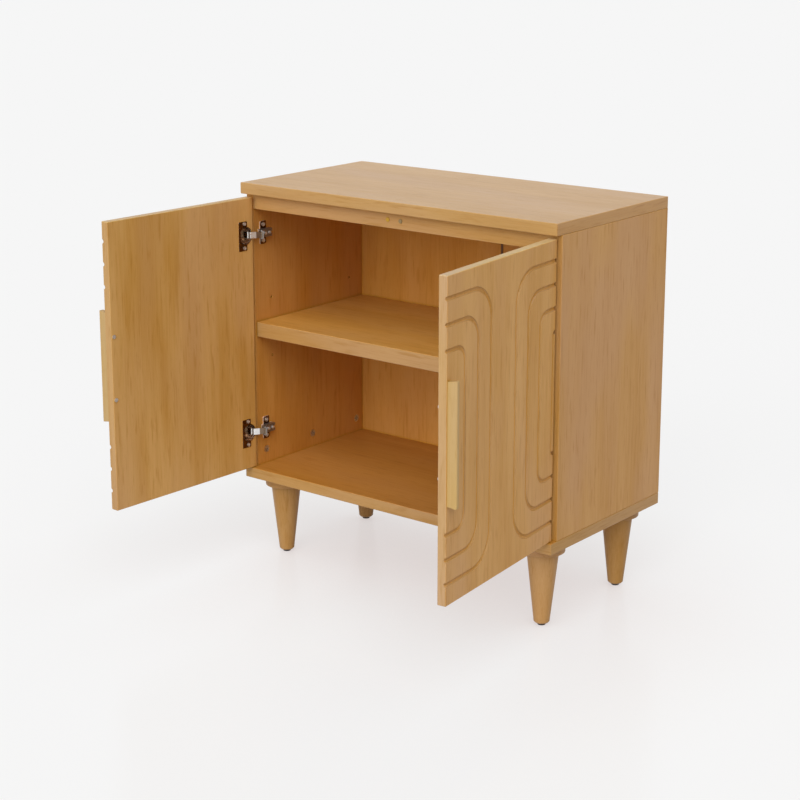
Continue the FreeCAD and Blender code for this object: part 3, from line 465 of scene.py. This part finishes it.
    def _tone(self, desk: Desk, given: Sockets, swayed: Socket, bands: Socket, fibre: Socket) -> Socket:
        """Lay bands, rings and fibres over each other.

        Args:
            desk: A desk on the group.
            given: The group's inputs.
            swayed: Swayed coordinates.
            bands: Value of the bands.
            fibre: Value of the fibres.

        Returns:
            How deep the wood's colour is.
        """
        half = desk.sum_up("MULTIPLY", given["Banding"], 0.5)
        low = desk.sum_up("SUBTRACT", self.band_middle, half)
        high = desk.sum_up("ADD", self.band_middle, half)
        tone = desk.remap(bands, self.band_span, (low, high))
        rings = desk.remap(self.rings.sample(desk, swayed), self.ring_span, (0.0, self.ring_share))
        fibres = desk.remap(fibre, self.fibre_span, (0.0, self.fibre_share))
        return desk.sum_up("ADD", desk.sum_up("ADD", tone, rings), fibres)

    def _streak(self, desk: Desk, given: Sockets, swayed: Socket, bands: Socket, colour: Socket) -> Socket:
        """Draw long streaks, patch by patch, and short dashes.

        Args:
            desk: A desk on the group.
            given: The group's inputs.
            swayed: Swayed coordinates.
            bands: Value of the bands.
            colour: The wood without streaks.

        Returns:
            The wood with streaks.
        """
        patches = desk.remap(bands, self.patch_span, self.patch_shares)
        patch = desk.sum_up("MULTIPLY", patches, given["Streaks"])
        lines = desk.remap(self.lines.sample(desk, swayed), self.line_span)
        colour = desk.blend(desk.sum_up("MULTIPLY", lines, patch), colour, given["Vein"])
        dashes = desk.remap(self.dashes.sample(desk, swayed), self.dash_span, (0.0, self.dash_share))
        return desk.blend(desk.sum_up("MULTIPLY", dashes, given["Streaks"]), colour, given["Vein"])

    @staticmethod
    def _tint(desk: Desk, given: Sockets, colour: Socket) -> Socket:
        """Tint the edges, paint a highlight over what lies above a height and paint shade over the faces
        on one side.

        Args:
            desk: A desk on the group.
            given: The group's inputs.
            colour: The wood without tints.

        Returns:
            The tinted wood.
        """
        square = desk.squareness(given["Normal"], given["Face"])
        edge = desk.sum_up("LESS_THAN", square, LOOKS_ALONG)
        colour = desk.blend(edge, colour, given["Edge Tint"], multiply=True)
        # Painted highlight: what lies above Upper From is multiplied by a paler tint.
        height = desk.dot(given["Vector"], UPWARD)
        upper = desk.sum_up("GREATER_THAN", height, given["Upper From"])
        colour = desk.blend(upper, colour, given["Upper Tint"], multiply=True)
        # Painted shade: faces that look towards One Side are multiplied by a deeper tint.
        facing = desk.dot(given["Normal"], given["One Side"])
        one_side = desk.sum_up("GREATER_THAN", facing, LOOKS_ALONG)
        return desk.blend(one_side, colour, given["One Side Tint"], multiply=True)


@dataclass(frozen=True)
class SoftEdges:
    """Normals rounded over near edges, how near an edge lies and how deep in a hollow a point is."""

    samples: int = 4
    turned: Span = (0.98, 0.80)
    covered: Span = (0.95, 0.45)

    def build(self) -> NodeTree:
        """Make the group.

        Returns:
            The group.
        """
        desk, given, made = new_group(
            "Soft edges",
            {"Radius": "Float", "Reach": "Float"},
            {"Normal": "Vector", "Wear": "Float", "Hollow": "Float"},
        )
        bevel = desk.add("ShaderNodeBevel", samples=self.samples)
        desk.feed(bevel.inputs["Radius"], given["Radius"])
        face = desk.add("ShaderNodeNewGeometry")
        turn = desk.dot(bevel.outputs[0], face.outputs["Normal"])
        around = desk.add("ShaderNodeAmbientOcclusion", samples=self.samples)
        desk.feed(around.inputs["Distance"], given["Reach"])
        hollow = desk.remap(around.outputs["AO"], self.covered)
        wear = desk.sum_up("SUBTRACT", desk.remap(turn, self.turned), hollow, clamp=True)
        desk.feed(made["Normal"], bevel.outputs[0])
        desk.feed(made["Wear"], wear)
        desk.feed(made["Hollow"], hollow)
        return desk.tree


@dataclass(frozen=True)
class Mottle:
    """Faint handling marks and cast or moulded texture."""

    clouds: Noise = Noise(160.0, detail=3.0)
    specks: Noise = Noise(1800.0)
    shade_span: Span = (0.35, 0.65)
    swing_span: Span = (0.3, 0.7)

    def build(self) -> NodeTree:
        """Make the group.

        Returns:
            The group.
        """
        desk, given, made = new_group(
            "Mottle",
            {"Vector": "Vector", "Colour": "Color", "Shade": "Color", "Base": "Float", "Swing": "Float"},
            {"Color": "Color", "Roughness": "Float", "Height": "Float"},
        )
        clouds = self.clouds.sample(desk, given["Vector"])
        shaded = desk.remap(clouds, self.shade_span)
        desk.feed(made["Color"], desk.blend(shaded, given["Colour"], given["Shade"]))
        swing = desk.sum_up("MULTIPLY", desk.remap(clouds, self.swing_span, (-1.0, 1.0)), given["Swing"])
        desk.feed(made["Roughness"], desk.sum_up("ADD", given["Base"], swing))
        desk.feed(made["Height"], self.specks.sample(desk, given["Vector"]))
        return desk.tree


class Effects:
    """Shader node groups that several finishes share, each built once."""

    def __init__(self) -> None:
        """Build every group."""
        self.wood_figure = WoodFigure().build()
        self.soft_edges = SoftEdges().build()
        self.mottle = Mottle().build()


def new_material(name: str) -> tuple[bpy.types.Material, Desk]:
    """Start a material with a surface shader.

    Args:
        name: The material's name.

    Returns:
        The material and a desk on its tree.
    """
    material = bpy.data.materials.new(name)
    material.use_nodes = True
    return material, Desk(material.node_tree)


def principled(desk: Desk) -> Node:
    """Find the surface shader of a new material.

    Args:
        desk: A desk on the material's tree.

    Returns:
        The Principled BSDF node.
    """
    return next(node for node in desk.tree.nodes if node.type == "BSDF_PRINCIPLED")


@dataclass(frozen=True)
class WoodFinish:
    """Satin-lacquered pale wood."""

    SEED_STEP: ClassVar[Direction] = (0.37, 0.83, 1.91)
    TONED: ClassVar[tuple[str, ...]] = ("pale", "deep", "vein", "blush", "stain_and_shade")

    name: str
    grain: Grain
    seed: int
    pale: Colour = (0.635, 0.370, 0.136)
    deep: Colour = (0.527, 0.272, 0.064)
    vein: Colour = (0.423, 0.190, 0.028)
    blush: Colour = (0.575, 0.335, 0.165)
    # Stain gathered in grooves and joints; this colour also paints shade into hollows.
    stain_and_shade: Colour = (0.487, 0.243, 0.022)
    banding: float = 0.52
    streaks: float = 0.60
    pores: float = 0.40
    sheen: float = 0.44
    gloss: float = 0.25
    face: Direction = RIGHTWARD
    edge_tint: Colour = WHITE
    # Painted shade over the faces that look towards one_side.
    one_side: Direction = NO_SIDE
    shaded_side_tint: Colour = (1.00, 0.86, 0.52)
    # Painted highlight over what lies above upper_from.
    painted_highlight: Colour = WHITE
    upper_from: float = 0.0
    banded: bool = True
    edge_radius: float = 0.0012
    rub_share: float = 0.25
    groove_reach: float = 0.0065
    stain_and_shade_share: float = 0.85
    relief: float = 0.22
    relief_depth: float = 0.0002

    def toned(self, factor: Colour) -> "WoodFinish":
        """Make the same wood from a paler or deeper board.

        Args:
            factor: What each colour is multiplied by.

        Returns:
            The toned finish.
        """
        tones = {}
        for name in self.TONED:
            tones[name] = tuple(part * share for part, share in zip(getattr(self, name), factor))
        return replace(self, **tones)

    def material(self, effects: Effects) -> bpy.types.Material:
        """Build the finish.

        Args:
            effects: The shared node groups.

        Returns:
            The material.
        """
        material, desk = new_material(self.name)
        shader = principled(desk)
        place = desk.add("ShaderNodeTexCoord")
        figure = desk.group(
            effects.wood_figure,
            Vector=place.outputs["Object"],
            Shift=tuple(step * self.seed for step in self.SEED_STEP),
            Normal=place.outputs["Normal"],
            Along=self.grain.value,
            Banded=float(self.banded),
            Face=self.face,
            Edge_Tint=self.edge_tint,
            One_Side=self.one_side,
            One_Side_Tint=self.shaded_side_tint,
            Upper_Tint=self.painted_highlight,
            Upper_From=self.upper_from,
            Pale=self.pale,
            Deep=self.deep,
            Vein=self.vein,
            Blush=self.blush,
            Banding=self.banding,
            Streaks=self.streaks,
            Pores=self.pores,
            Sheen=self.sheen,
        )
        edges = desk.group(effects.soft_edges, Radius=self.edge_radius, Reach=self.groove_reach)
        rubbed = desk.sum_up("MULTIPLY", edges.outputs["Wear"], self.rub_share)
        # Stain and painted shade: hollows found by ambient occlusion are darkened towards this finish's
        # stain_and_shade colour.
        stained_and_shaded = desk.sum_up("MULTIPLY", edges.outputs["Hollow"], self.stain_and_shade_share)
        colour = desk.blend(rubbed, figure.outputs["Color"], self.pale)
        height = figure.outputs["Height"]
        relief = desk.bump(height, edges.outputs["Normal"], self.relief, self.relief_depth)
        desk.feed(shader.inputs["Base Color"], desk.blend(stained_and_shaded, colour, self.stain_and_shade))
        desk.feed(shader.inputs["Roughness"], figure.outputs["Roughness"])
        desk.feed(shader.inputs["Normal"], relief)
        desk.feed(shader.inputs["Specular IOR Level"], self.gloss)
        return material


@dataclass(frozen=True)
class PlainFinish:
    """Metal, plastic or rubber with faint marks."""

    name: str
    colour: Colour
    shade: Colour
    roughness: float
    swing: float = 0.06
    metallic: float = 0.0
    gloss: float = 0.5
    edge_radius: float = 0.0003
    rub_share: float = 0.3
    recess_reach: float = 0.002
    # Painted shade: near-black laid over hollows found by ambient occlusion.
    recess_shade: Colour = (0.035, 0.028, 0.022)
    recess_shade_share: float = 0.6
    relief: float = 0.15
    relief_depth: float = 0.00004

    def material(self, effects: Effects) -> bpy.types.Material:
        """Build the finish.

        Args:
            effects: The shared node groups.

        Returns:
            The material.
        """
        material, desk = new_material(self.name)
        shader = principled(desk)
        place = desk.add("ShaderNodeTexCoord")
        marks = desk.group(
            effects.mottle,
            Vector=place.outputs["Object"],
            Colour=self.colour,
            Shade=self.shade,
            Base=self.roughness,
            Swing=self.swing,
        )
        edges = desk.group(effects.soft_edges, Radius=self.edge_radius, Reach=self.recess_reach)
        rubbed = desk.sum_up("MULTIPLY", edges.outputs["Wear"], self.rub_share)
        # Painted shade in recesses, from ambient occlusion.
        shaded_recess = desk.sum_up("MULTIPLY", edges.outputs["Hollow"], self.recess_shade_share)
        under, roughness = self._surface(desk, place, marks)
        colour = desk.blend(rubbed, under, self.colour)
        height = marks.outputs["Height"]
        relief = desk.bump(height, edges.outputs["Normal"], self.relief, self.relief_depth)
        desk.feed(shader.inputs["Base Color"], desk.blend(shaded_recess, colour, self.recess_shade))
        desk.feed(shader.inputs["Roughness"], roughness)
        desk.feed(shader.inputs["Normal"], relief)
        desk.feed(shader.inputs["Metallic"], self.metallic)
        desk.feed(shader.inputs["Specular IOR Level"], self.gloss)
        return material

    def _surface(self, desk: Desk, place: Node, marks: Node) -> tuple[Socket, Socket]:
        """Choose what lies under edge wear and grime.

        Args:
            desk: A desk on the material's tree.
            place: Its texture coordinates.
            marks: Its mottle group.

        Returns:
            The colour and the roughness.
        """
        return marks.outputs["Color"], marks.outputs["Roughness"]


@dataclass(frozen=True)
class EndShadedFinish(PlainFinish):
    """Bright metal with painted shade over both ends, along the cabinet's depth."""

    # Painted shade over both ends of the link.
    end_shade: Colour = (0.25, 0.180, 0.125)
    bright_from: float = -0.1880
    bright_to: float = -0.1755

    def _surface(self, desk: Desk, place: Node, marks: Node) -> tuple[Socket, Socket]:
        """Paint shade over both ends.

        Args:
            desk: A desk on the material's tree.
            place: Its texture coordinates.
            marks: Its mottle group.

        Returns:
            The colour and the roughness.
        """
        depth = desk.dot(place.outputs["Object"], BACKWARD)
        past = desk.sum_up("GREATER_THAN", depth, self.bright_from)
        before = desk.sum_up("LESS_THAN", depth, self.bright_to)
        bright = desk.sum_up("MULTIPLY", past, before)
        return desk.blend(bright, self.end_shade, marks.outputs["Color"]), marks.outputs["Roughness"]


@dataclass(frozen=True)
class SheetFinish(PlainFinish):
    """Plated sheet metal whose cut edges are pale, partly as unplated metal and partly as a painted
    highlight.
    """

    # Pale cut edges: partly unplated metal, partly a painted highlight.
    edge_metal_and_glint: Colour = (0.80, 0.67, 0.58)
    bare_roughness: float = 0.0
    broad_side: Direction = RIGHTWARD

    def _surface(self, desk: Desk, place: Node, marks: Node) -> tuple[Socket, Socket]:
        """Make the cut edges pale, partly as unplated metal and partly as a painted highlight.

        Args:
            desk: A desk on the material's tree.
            place: Its texture coordinates.
            marks: Its mottle group.

        Returns:
            The colour and the roughness.
        """
        square = desk.squareness(place.outputs["Normal"], self.broad_side)
        cut = desk.sum_up("LESS_THAN", square, LOOKS_ALONG)
        torn = desk.sum_up("MULTIPLY", cut, self.bare_roughness)
        roughness = desk.sum_up("MAXIMUM", marks.outputs["Roughness"], torn)
        return desk.blend(cut, marks.outputs["Color"], self.edge_metal_and_glint), roughness


Finish = WoodFinish | PlainFinish

BARE_BEECH = WoodFinish(
    "bare_beech",
    Grain.UPRIGHT,
    seed=40,
    pale=(0.70, 0.52, 0.30),
    deep=(0.62, 0.43, 0.23),
    sheen=0.62,
    banded=False,
)
DARK_NICKEL = PlainFinish(
    "dark_nickel",
    colour=(0.20, 0.125, 0.072),
    shade=(0.115, 0.070, 0.040),
    roughness=0.24,
    swing=0.08,
    metallic=1.0,
)
NICKEL_CUP = SheetFinish(
    "nickel_cup",
    colour=DARK_NICKEL.colour,
    shade=DARK_NICKEL.shade,
    roughness=DARK_NICKEL.roughness,
    swing=DARK_NICKEL.swing,
    metallic=DARK_NICKEL.metallic,
    recess_shade_share=0.25,
)
NICKEL_PLATE = replace(
    NICKEL_CUP,
    name="nickel_plate",
    edge_metal_and_glint=(0.92, 0.80, 0.72),
    bare_roughness=0.65,
    recess_shade_share=0.10,
)
BRIGHT_STEEL = PlainFinish(
    "bright_steel",
    colour=(0.90, 0.90, 0.89),
    shade=(0.78, 0.78, 0.77),
    roughness=0.22,
    swing=0.07,
    metallic=1.0,
)
END_SHADED_STEEL = EndShadedFinish(
    "end_shaded_steel",
    colour=(0.92, 0.92, 0.91),
    shade=(0.82, 0.82, 0.81),
    roughness=0.30,
    swing=0.05,
    metallic=1.0,
    recess_shade_share=0.15,
)
CAST_ZINC = PlainFinish(
    "cast_zinc",
    colour=(0.74, 0.71, 0.65),
    shade=(0.58, 0.55, 0.50),
    roughness=0.44,
    swing=0.08,
    metallic=1.0,
    relief_depth=0.0001,
)
BROWN_STRIP = PlainFinish(
    "brown_strip",
    colour=(0.150, 0.076, 0.032),
    shade=(0.120, 0.058, 0.024),
    roughness=0.55,
)
BLACK_GLIDE = PlainFinish(
    "black_glide",
    colour=(0.010, 0.009, 0.009),
    shade=(0.016, 0.015, 0.014),
    roughness=0.36,
)
AMBER_PAD = PlainFinish(
    "amber_pad",
    colour=(0.62, 0.370, 0.050),
    shade=(0.50, 0.280, 0.035),
    roughness=0.30,
    gloss=0.2,
)
GREY_PAD = PlainFinish(
    "grey_pad",
    colour=(0.360, 0.265, 0.130),
    shade=(0.280, 0.200, 0.095),
    roughness=0.45,
    gloss=0.2,
)


def coat(nodes: Iterable[str], finish: Finish, effects: Effects) -> None:
    """Give one finish to some of the frame's nodes.

    Args:
        nodes: Node names.
        finish: What they are finished in.
        effects: The shared node groups.
    """
    material = bpy.data.materials.get(finish.name) or finish.material(effects)
    for name in nodes:
        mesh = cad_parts[name].data
        mesh.materials.clear()
        mesh.materials.append(material)
        LOG.info("%s: %s", name, finish.name)


@dataclass
class Carcass:
    """Boards that make the box, and what holds them together."""

    effects: Effects
    lying_edge: Colour = (0.86, 0.87, 0.92)
    # Painted shade: the rail is a little deeper, for the shade under the top's front edge.
    rail_shade_tone: Colour = (0.94, 0.92, 0.88)
    # Paler top: partly the board's own tone, partly painted glare of the overhead light.
    top_glare_tone: Colour = (1.06, 1.07, 1.00)
    # Painted shade on the top's right end.
    top_end_shade_tint: Colour = (1.00, 0.90, 0.74)
    top_sheen: float = 0.34
    top_gloss: float = 0.50
    # Painted shade: deeper, warmer back boards, for the bounced shade inside the cabinet.
    back_shade_tone: Colour = (1.08, 0.93, 0.58)
    side_tone: Colour = (1.01, 0.965, 0.97)
    # Painted shade: warmer edges on the left side panel, for the warm shade in the gap by the left door.
    left_edge_shade: Colour = (1.14, 1.04, 0.68)
    left_banding: float = 0.80
    right_edge: Colour = (0.92, 0.93, 0.78)
    # Painted shade on the upper faces of the cabinet floor and the shelf, for the bounced shade inside the
    # cabinet.
    floor_shade_tint: Colour = (0.90, 0.73, 0.43)
    shelf_shade_tint: Colour = (1.08, 1.00, 0.65)

    def dress(self) -> None:
        """Finish every board and fastener."""
        flat = {"face": UPWARD, "edge_tint": self.lying_edge}
        thin = {"face": BACKWARD}
        top = {
            **flat,
            "one_side": RIGHTWARD,
            "shaded_side_tint": self.top_end_shade_tint,
            "sheen": self.top_sheen,
            "gloss": self.top_gloss,
        }
        bottom = {**flat, "one_side": UPWARD, "shaded_side_tint": self.floor_shade_tint}
        shelf = {**flat, "one_side": UPWARD, "shaded_side_tint": self.shelf_shade_tint}
        # Painted shade on the side panels' inner faces, through the default shaded side tint.
        left = {"one_side": RIGHTWARD, "edge_tint": self.left_edge_shade, "banding": self.left_banding}
        right = {"one_side": LEFTWARD, "edge_tint": self.right_edge}
        boards = (
            ("top_panel", Grain.LENGTHWISE, self.top_glare_tone, top),
            ("bottom_panel", Grain.LENGTHWISE, WHITE, bottom),
            ("left_side_panel", Grain.UPRIGHT, self.side_tone, left),
            ("right_side_panel", Grain.UPRIGHT, self.side_tone, right),
            ("top_front_rail", Grain.LENGTHWISE, self.rail_shade_tone, thin),
            ("shelf", Grain.LENGTHWISE, WHITE, shelf),
            ("back_panel_left", Grain.UPRIGHT, self.back_shade_tone, thin),
            ("back_panel_right", Grain.UPRIGHT, self.back_shade_tone, thin),
        )
        for seed, (node, grain, tone, looks) in enumerate(boards, start=1):
            coat([node], WoodFinish(node + "_veneer", grain, seed, **looks).toned(tone), self.effects)
        coat(["carcass_dowels", "rail_dowels"], BARE_BEECH, self.effects)
        coat(["top_cam_locks", "bottom_cam_locks"], CAST_ZINC, self.effects)
        coat(["top_cam_bolts", "bottom_cam_bolts", "shelf_pins"], BRIGHT_STEEL, self.effects)
        coat(["back_joint_strip"], BROWN_STRIP, self.effects)
        coat(["left_door_bumper"], AMBER_PAD, self.effects)
        coat(["right_door_bumper"], GREY_PAD, self.effects)


@dataclass
class Legs:
    """Turned legs, their collars and what is under and inside them."""

    effects: Effects
    corners: tuple[str, ...] = ("front_left", "front_right", "back_left", "back_right")
    first_seed: int = 20
    banding: float = 0.80
    # Painted shade: legs and collars are darker for the shade under the cabinet, the front right corner
    # less so.
    tone: Colour = (0.79, 0.76, 0.74)
    less_shaded_corner: str = "front_right"
    less_shaded_tone: Colour = (0.88, 0.86, 0.97)

    def dress(self) -> None:
        """Finish every leg, collar, glide, bolt and insert."""
        solid = {"banding": self.banding, "banded": False}
        for seed, corner in enumerate(self.corners, start=self.first_seed):
            tone = self.less_shaded_tone if corner == self.less_shaded_corner else self.tone
            leg = WoodFinish(corner + "_turned", Grain.UPRIGHT, seed, **solid).toned(tone)
            disc_seed = seed + len(self.corners)
            disc = WoodFinish(corner + "_disc", Grain.LENGTHWISE, disc_seed, **solid).toned(tone)
            coat([corner + "_leg"], leg, self.effects)
            coat([corner + "_collar"], disc, self.effects)
        coat(["leg_glides"], BLACK_GLIDE, self.effects)
        coat(["leg_bolts"], BRIGHT_STEEL, self.effects)
        coat(["leg_inserts"], CAST_ZINC, self.effects)


@dataclass
class Door:
    """One grooved door with its handle."""

    side: Side
    effects: Effects
    seed: int
    tone: Colour
    edge_tint: Colour
    banding: float
    handle_tone: Colour = (1.00, 1.18, 1.42)
    handle_streaks: float = 0.25
    # Painted highlight on the door's top edge, for the sheen of overhead light.
    painted_highlight: Colour = (1.25, 1.44, 1.60)
    rim: float = 0.0012

    def dress(self) -> None:
        """Finish the panel, the handle and its screws."""
        name = self.side.value
        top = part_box(name + "_door_panel")[1][2]
        panel = WoodFinish(
            name + "_door_veneer",
            Grain.UPRIGHT,
            self.seed,
            banding=self.banding,
            edge_tint=self.edge_tint,
            painted_highlight=self.painted_highlight,
            upper_from=top - self.rim,
        )
        bar = WoodFinish(
            name + "_handle_wood",
            Grain.UPRIGHT,
            self.seed + 1,
            streaks=self.handle_streaks,
            banded=False,
        )
        coat([name + "_door_panel"], panel.toned(self.tone), self.effects)
        coat([name + "_handle"], bar.toned(self.handle_tone), self.effects)
        coat([name + "_handle_screws"], BRIGHT_STEEL, self.effects)


@dataclass
class Hinges:
    """Concealed hinges of both doors."""

    effects: Effects

    def dress(self) -> None:
        """Finish plates, arms and cups dark, and links, pins and screws bright; the links get painted
        shade at both ends and the cut edges of plates and cups a partly painted highlight.
        """
        spots = [side.value + "_" + level.value for side in Side for level in Level]
        for piece, finish in (
            ("plate", NICKEL_PLATE),
            ("arm", DARK_NICKEL),
            ("cup", NICKEL_CUP),
            ("link", END_SHADED_STEEL),
        ):
            coat([spot + "_hinge_" + piece for spot in spots], finish, self.effects)
        loose = ["hinge_plate_screws", "hinge_adjusting_screws", "hinge_arm_pins"]
        for side in Side:
            loose += [side.value + "_hinge_cup_screws", side.value + "_hinge_cup_pins"]
        coat(loose, BRIGHT_STEEL, self.effects)


@dataclass(frozen=True)
class PaleFloor:
    """Seamless pale floor that takes a light real shadow, a painted shadow from ambient occlusion and a
    faint reflection.
    """

    half_width: float = 40.0
    drop: float = 0.0004
    colour: Colour = (0.66, 0.66, 0.66)
    seen_colour: Colour = (0.98, 0.98, 0.98)
    paper: Colour = (0.972, 0.972, 0.972)
    # Painted shadow: the glow turns towards this colour where ambient occlusion finds the cabinet close.
    shade: Colour = (0.760, 0.680, 0.665)
    shade_reach: float = 0.45
    shade_samples: int = 8
    shadow_share: float = 0.20
    mirror_share: float = 0.045
    mirror_roughness: float = 0.20

    def build(self) -> None:
        """Lay the floor."""
        corners = [(-1, -1), (1, -1), (1, 1), (-1, 1)]
        mesh = bpy.data.meshes.new("pale_floor")
        points = [(x * self.half_width, y * self.half_width, -self.drop) for x, y in corners]
        mesh.from_pydata(points, [], [(0, 1, 2, 3)])
        floor = bpy.data.objects.new("pale_floor", mesh)
        bpy.context.scene.collection.objects.link(floor)
        mesh.materials.append(self._material())
        LOG.info("pale_floor: stage")

    def _material(self) -> bpy.types.Material:
        """Make the floor's finish.

        Returns:
            A matt material that shows the camera a painted shadow from ambient occlusion and a light share
            of its real shadow.
        """
        material, desk = new_material("pale_floor")
        desk.tree.nodes.clear()
        matt = desk.add("ShaderNodeBsdfDiffuse")
        desk.feed(matt.inputs["Color"], self.colour)
        shaded = desk.add("ShaderNodeBsdfDiffuse")
        desk.feed(shaded.inputs["Color"], self.seen_colour)
        # Painted shadow: ambient occlusion darkens the glow near the cabinet; the diffuse share carries
        # the real shadow.
        open_air = desk.add("ShaderNodeAmbientOcclusion", samples=self.shade_samples)
        desk.feed(open_air.inputs["Distance"], self.shade_reach)
        glow = desk.add("ShaderNodeEmission")
        desk.feed(glow.inputs["Color"], desk.blend(open_air.outputs["AO"], self.shade, self.paper))
        mirror = desk.add("ShaderNodeBsdfGlossy")
        desk.feed(mirror.inputs["Roughness"], self.mirror_roughness)
        seen = desk.mix(self.shadow_share, glow.outputs[0], shaded.outputs[0])
        polished = desk.mix(self.mirror_share, seen, mirror.outputs[0])
        whole = desk.mix(desk.shown(), matt.outputs[0], polished)
        desk.feed(desk.add("ShaderNodeOutputMaterial").inputs[0], whole)
        return material


@dataclass(frozen=True)
class SunLamp:
    """One soft white studio lamp, far away, with its angles in degrees."""

    name: str
    strength: float
    azimuth: float
    elevation: float
    softness: float

    def build(self) -> None:
        """Hang the lamp, shining towards the object from its azimuth and elevation."""
        light = bpy.data.lights.new(self.name, "SUN")
        light.energy = self.strength
        light.angle = math.radians(self.softness)
        lamp = bpy.data.objects.new(self.name, light)
        bpy.context.scene.collection.objects.link(lamp)
        lamp.rotation_euler = way_to(self.azimuth, self.elevation).to_track_quat("Z", "Y").to_euler()


@dataclass(frozen=True)
class Studio:
    """Light from all round, two lamps and the floor."""

    sky: float = 0.33
    backdrop: Colour = (0.913, 0.913, 0.913)
    lamps: tuple[SunLamp, ...] = (
        SunLamp("key_lamp", strength=1.45, azimuth=40.0, elevation=45.0, softness=45.0),
        SunLamp("front_lamp", strength=1.15, azimuth=5.0, elevation=20.0, softness=45.0),
    )

    def build(self) -> None:
        """Set up the sky, the lamps and the floor."""
        world = bpy.data.worlds.new("studio")
        bpy.context.scene.world = world
        world.use_nodes = True
        desk = Desk(world.node_tree)
        desk.tree.nodes.clear()
        light = desk.add("ShaderNodeBackground")
        desk.feed(light.inputs["Color"], WHITE)
        desk.feed(light.inputs["Strength"], self.sky)
        paper = desk.add("ShaderNodeBackground")
        desk.feed(paper.inputs["Color"], self.backdrop)
        whole = desk.mix(desk.shown(), light.outputs[0], paper.outputs[0])
        desk.feed(desk.add("ShaderNodeOutputWorld").inputs[0], whole)
        for lamp in self.lamps:
            lamp.build()
        PaleFloor().build()


@dataclass(frozen=True)
class StudioCamera:
    """Camera that looks at the cabinet from its front right, from a little above."""

    pivot: tuple[float, float, float] = (0.0, 0.0, 0.38)
    yaw: float = 38.416
    pitch: float = 13.160
    slide_right: float = -0.0939
    slide_up: float = 0.1226
    distance: float = 3.5908
    lens: float = 82.775
    lens_shift: float = -0.10

    def build(self) -> None:
        """Set up the camera and make it the scene's own."""
        back = way_to(self.yaw, self.pitch)
        turn = math.radians(self.yaw)
        right = Vector((math.cos(turn), math.sin(turn), 0.0))
        up = back.cross(right)
        data = bpy.data.cameras.new("studio_camera")
        data.lens = self.lens
        data.shift_y = self.lens_shift
        camera = bpy.data.objects.new("studio_camera", data)
        bpy.context.scene.collection.objects.link(camera)
        stand = Vector(self.pivot) + back * self.distance + right * self.slide_right + up * self.slide_up
        camera.matrix_world = Matrix.Translation(stand) @ Matrix((right, up, back)).transposed().to_4x4()
        bpy.context.scene.camera = camera


def way_to(azimuth: float, elevation: float) -> Vector:
    """Find the direction from the object to a lamp or a camera.

    Args:
        azimuth: Degrees round from the front, towards the right.
        elevation: Degrees up from the floor.

    Returns:
        The direction, of length 1.
    """
    turn, lift = math.radians(azimuth), math.radians(elevation)
    return Vector((math.sin(turn) * math.cos(lift), -math.cos(turn) * math.cos(lift), math.sin(lift)))


def main() -> None:
    """Build the scene."""
    logging.basicConfig(level=logging.INFO, format="%(name)s %(message)s")
    bpy.context.scene.view_settings.view_transform = "Standard"
    effects = Effects()
    StudioCamera().build()
    Studio().build()
    left_door = Door(
        Side.LEFT,
        effects,
        seed=9,
        tone=(1.14, 1.13, 1.03),
        # Painted shade: the left door's edges are tinted darker.
        edge_tint=(0.80, 0.82, 0.97),
        banding=1.00,
    )
    right_door = Door(
        Side.RIGHT,
        effects,
        seed=12,
        tone=(1.15, 1.10, 1.00),
        edge_tint=(0.86, 0.99, 1.45),
        banding=0.55,
    )
    for part in (Carcass(effects), Legs(effects), left_door, right_door, Hinges(effects)):
        part.dress()


if __name__ == "__main__":
    main()
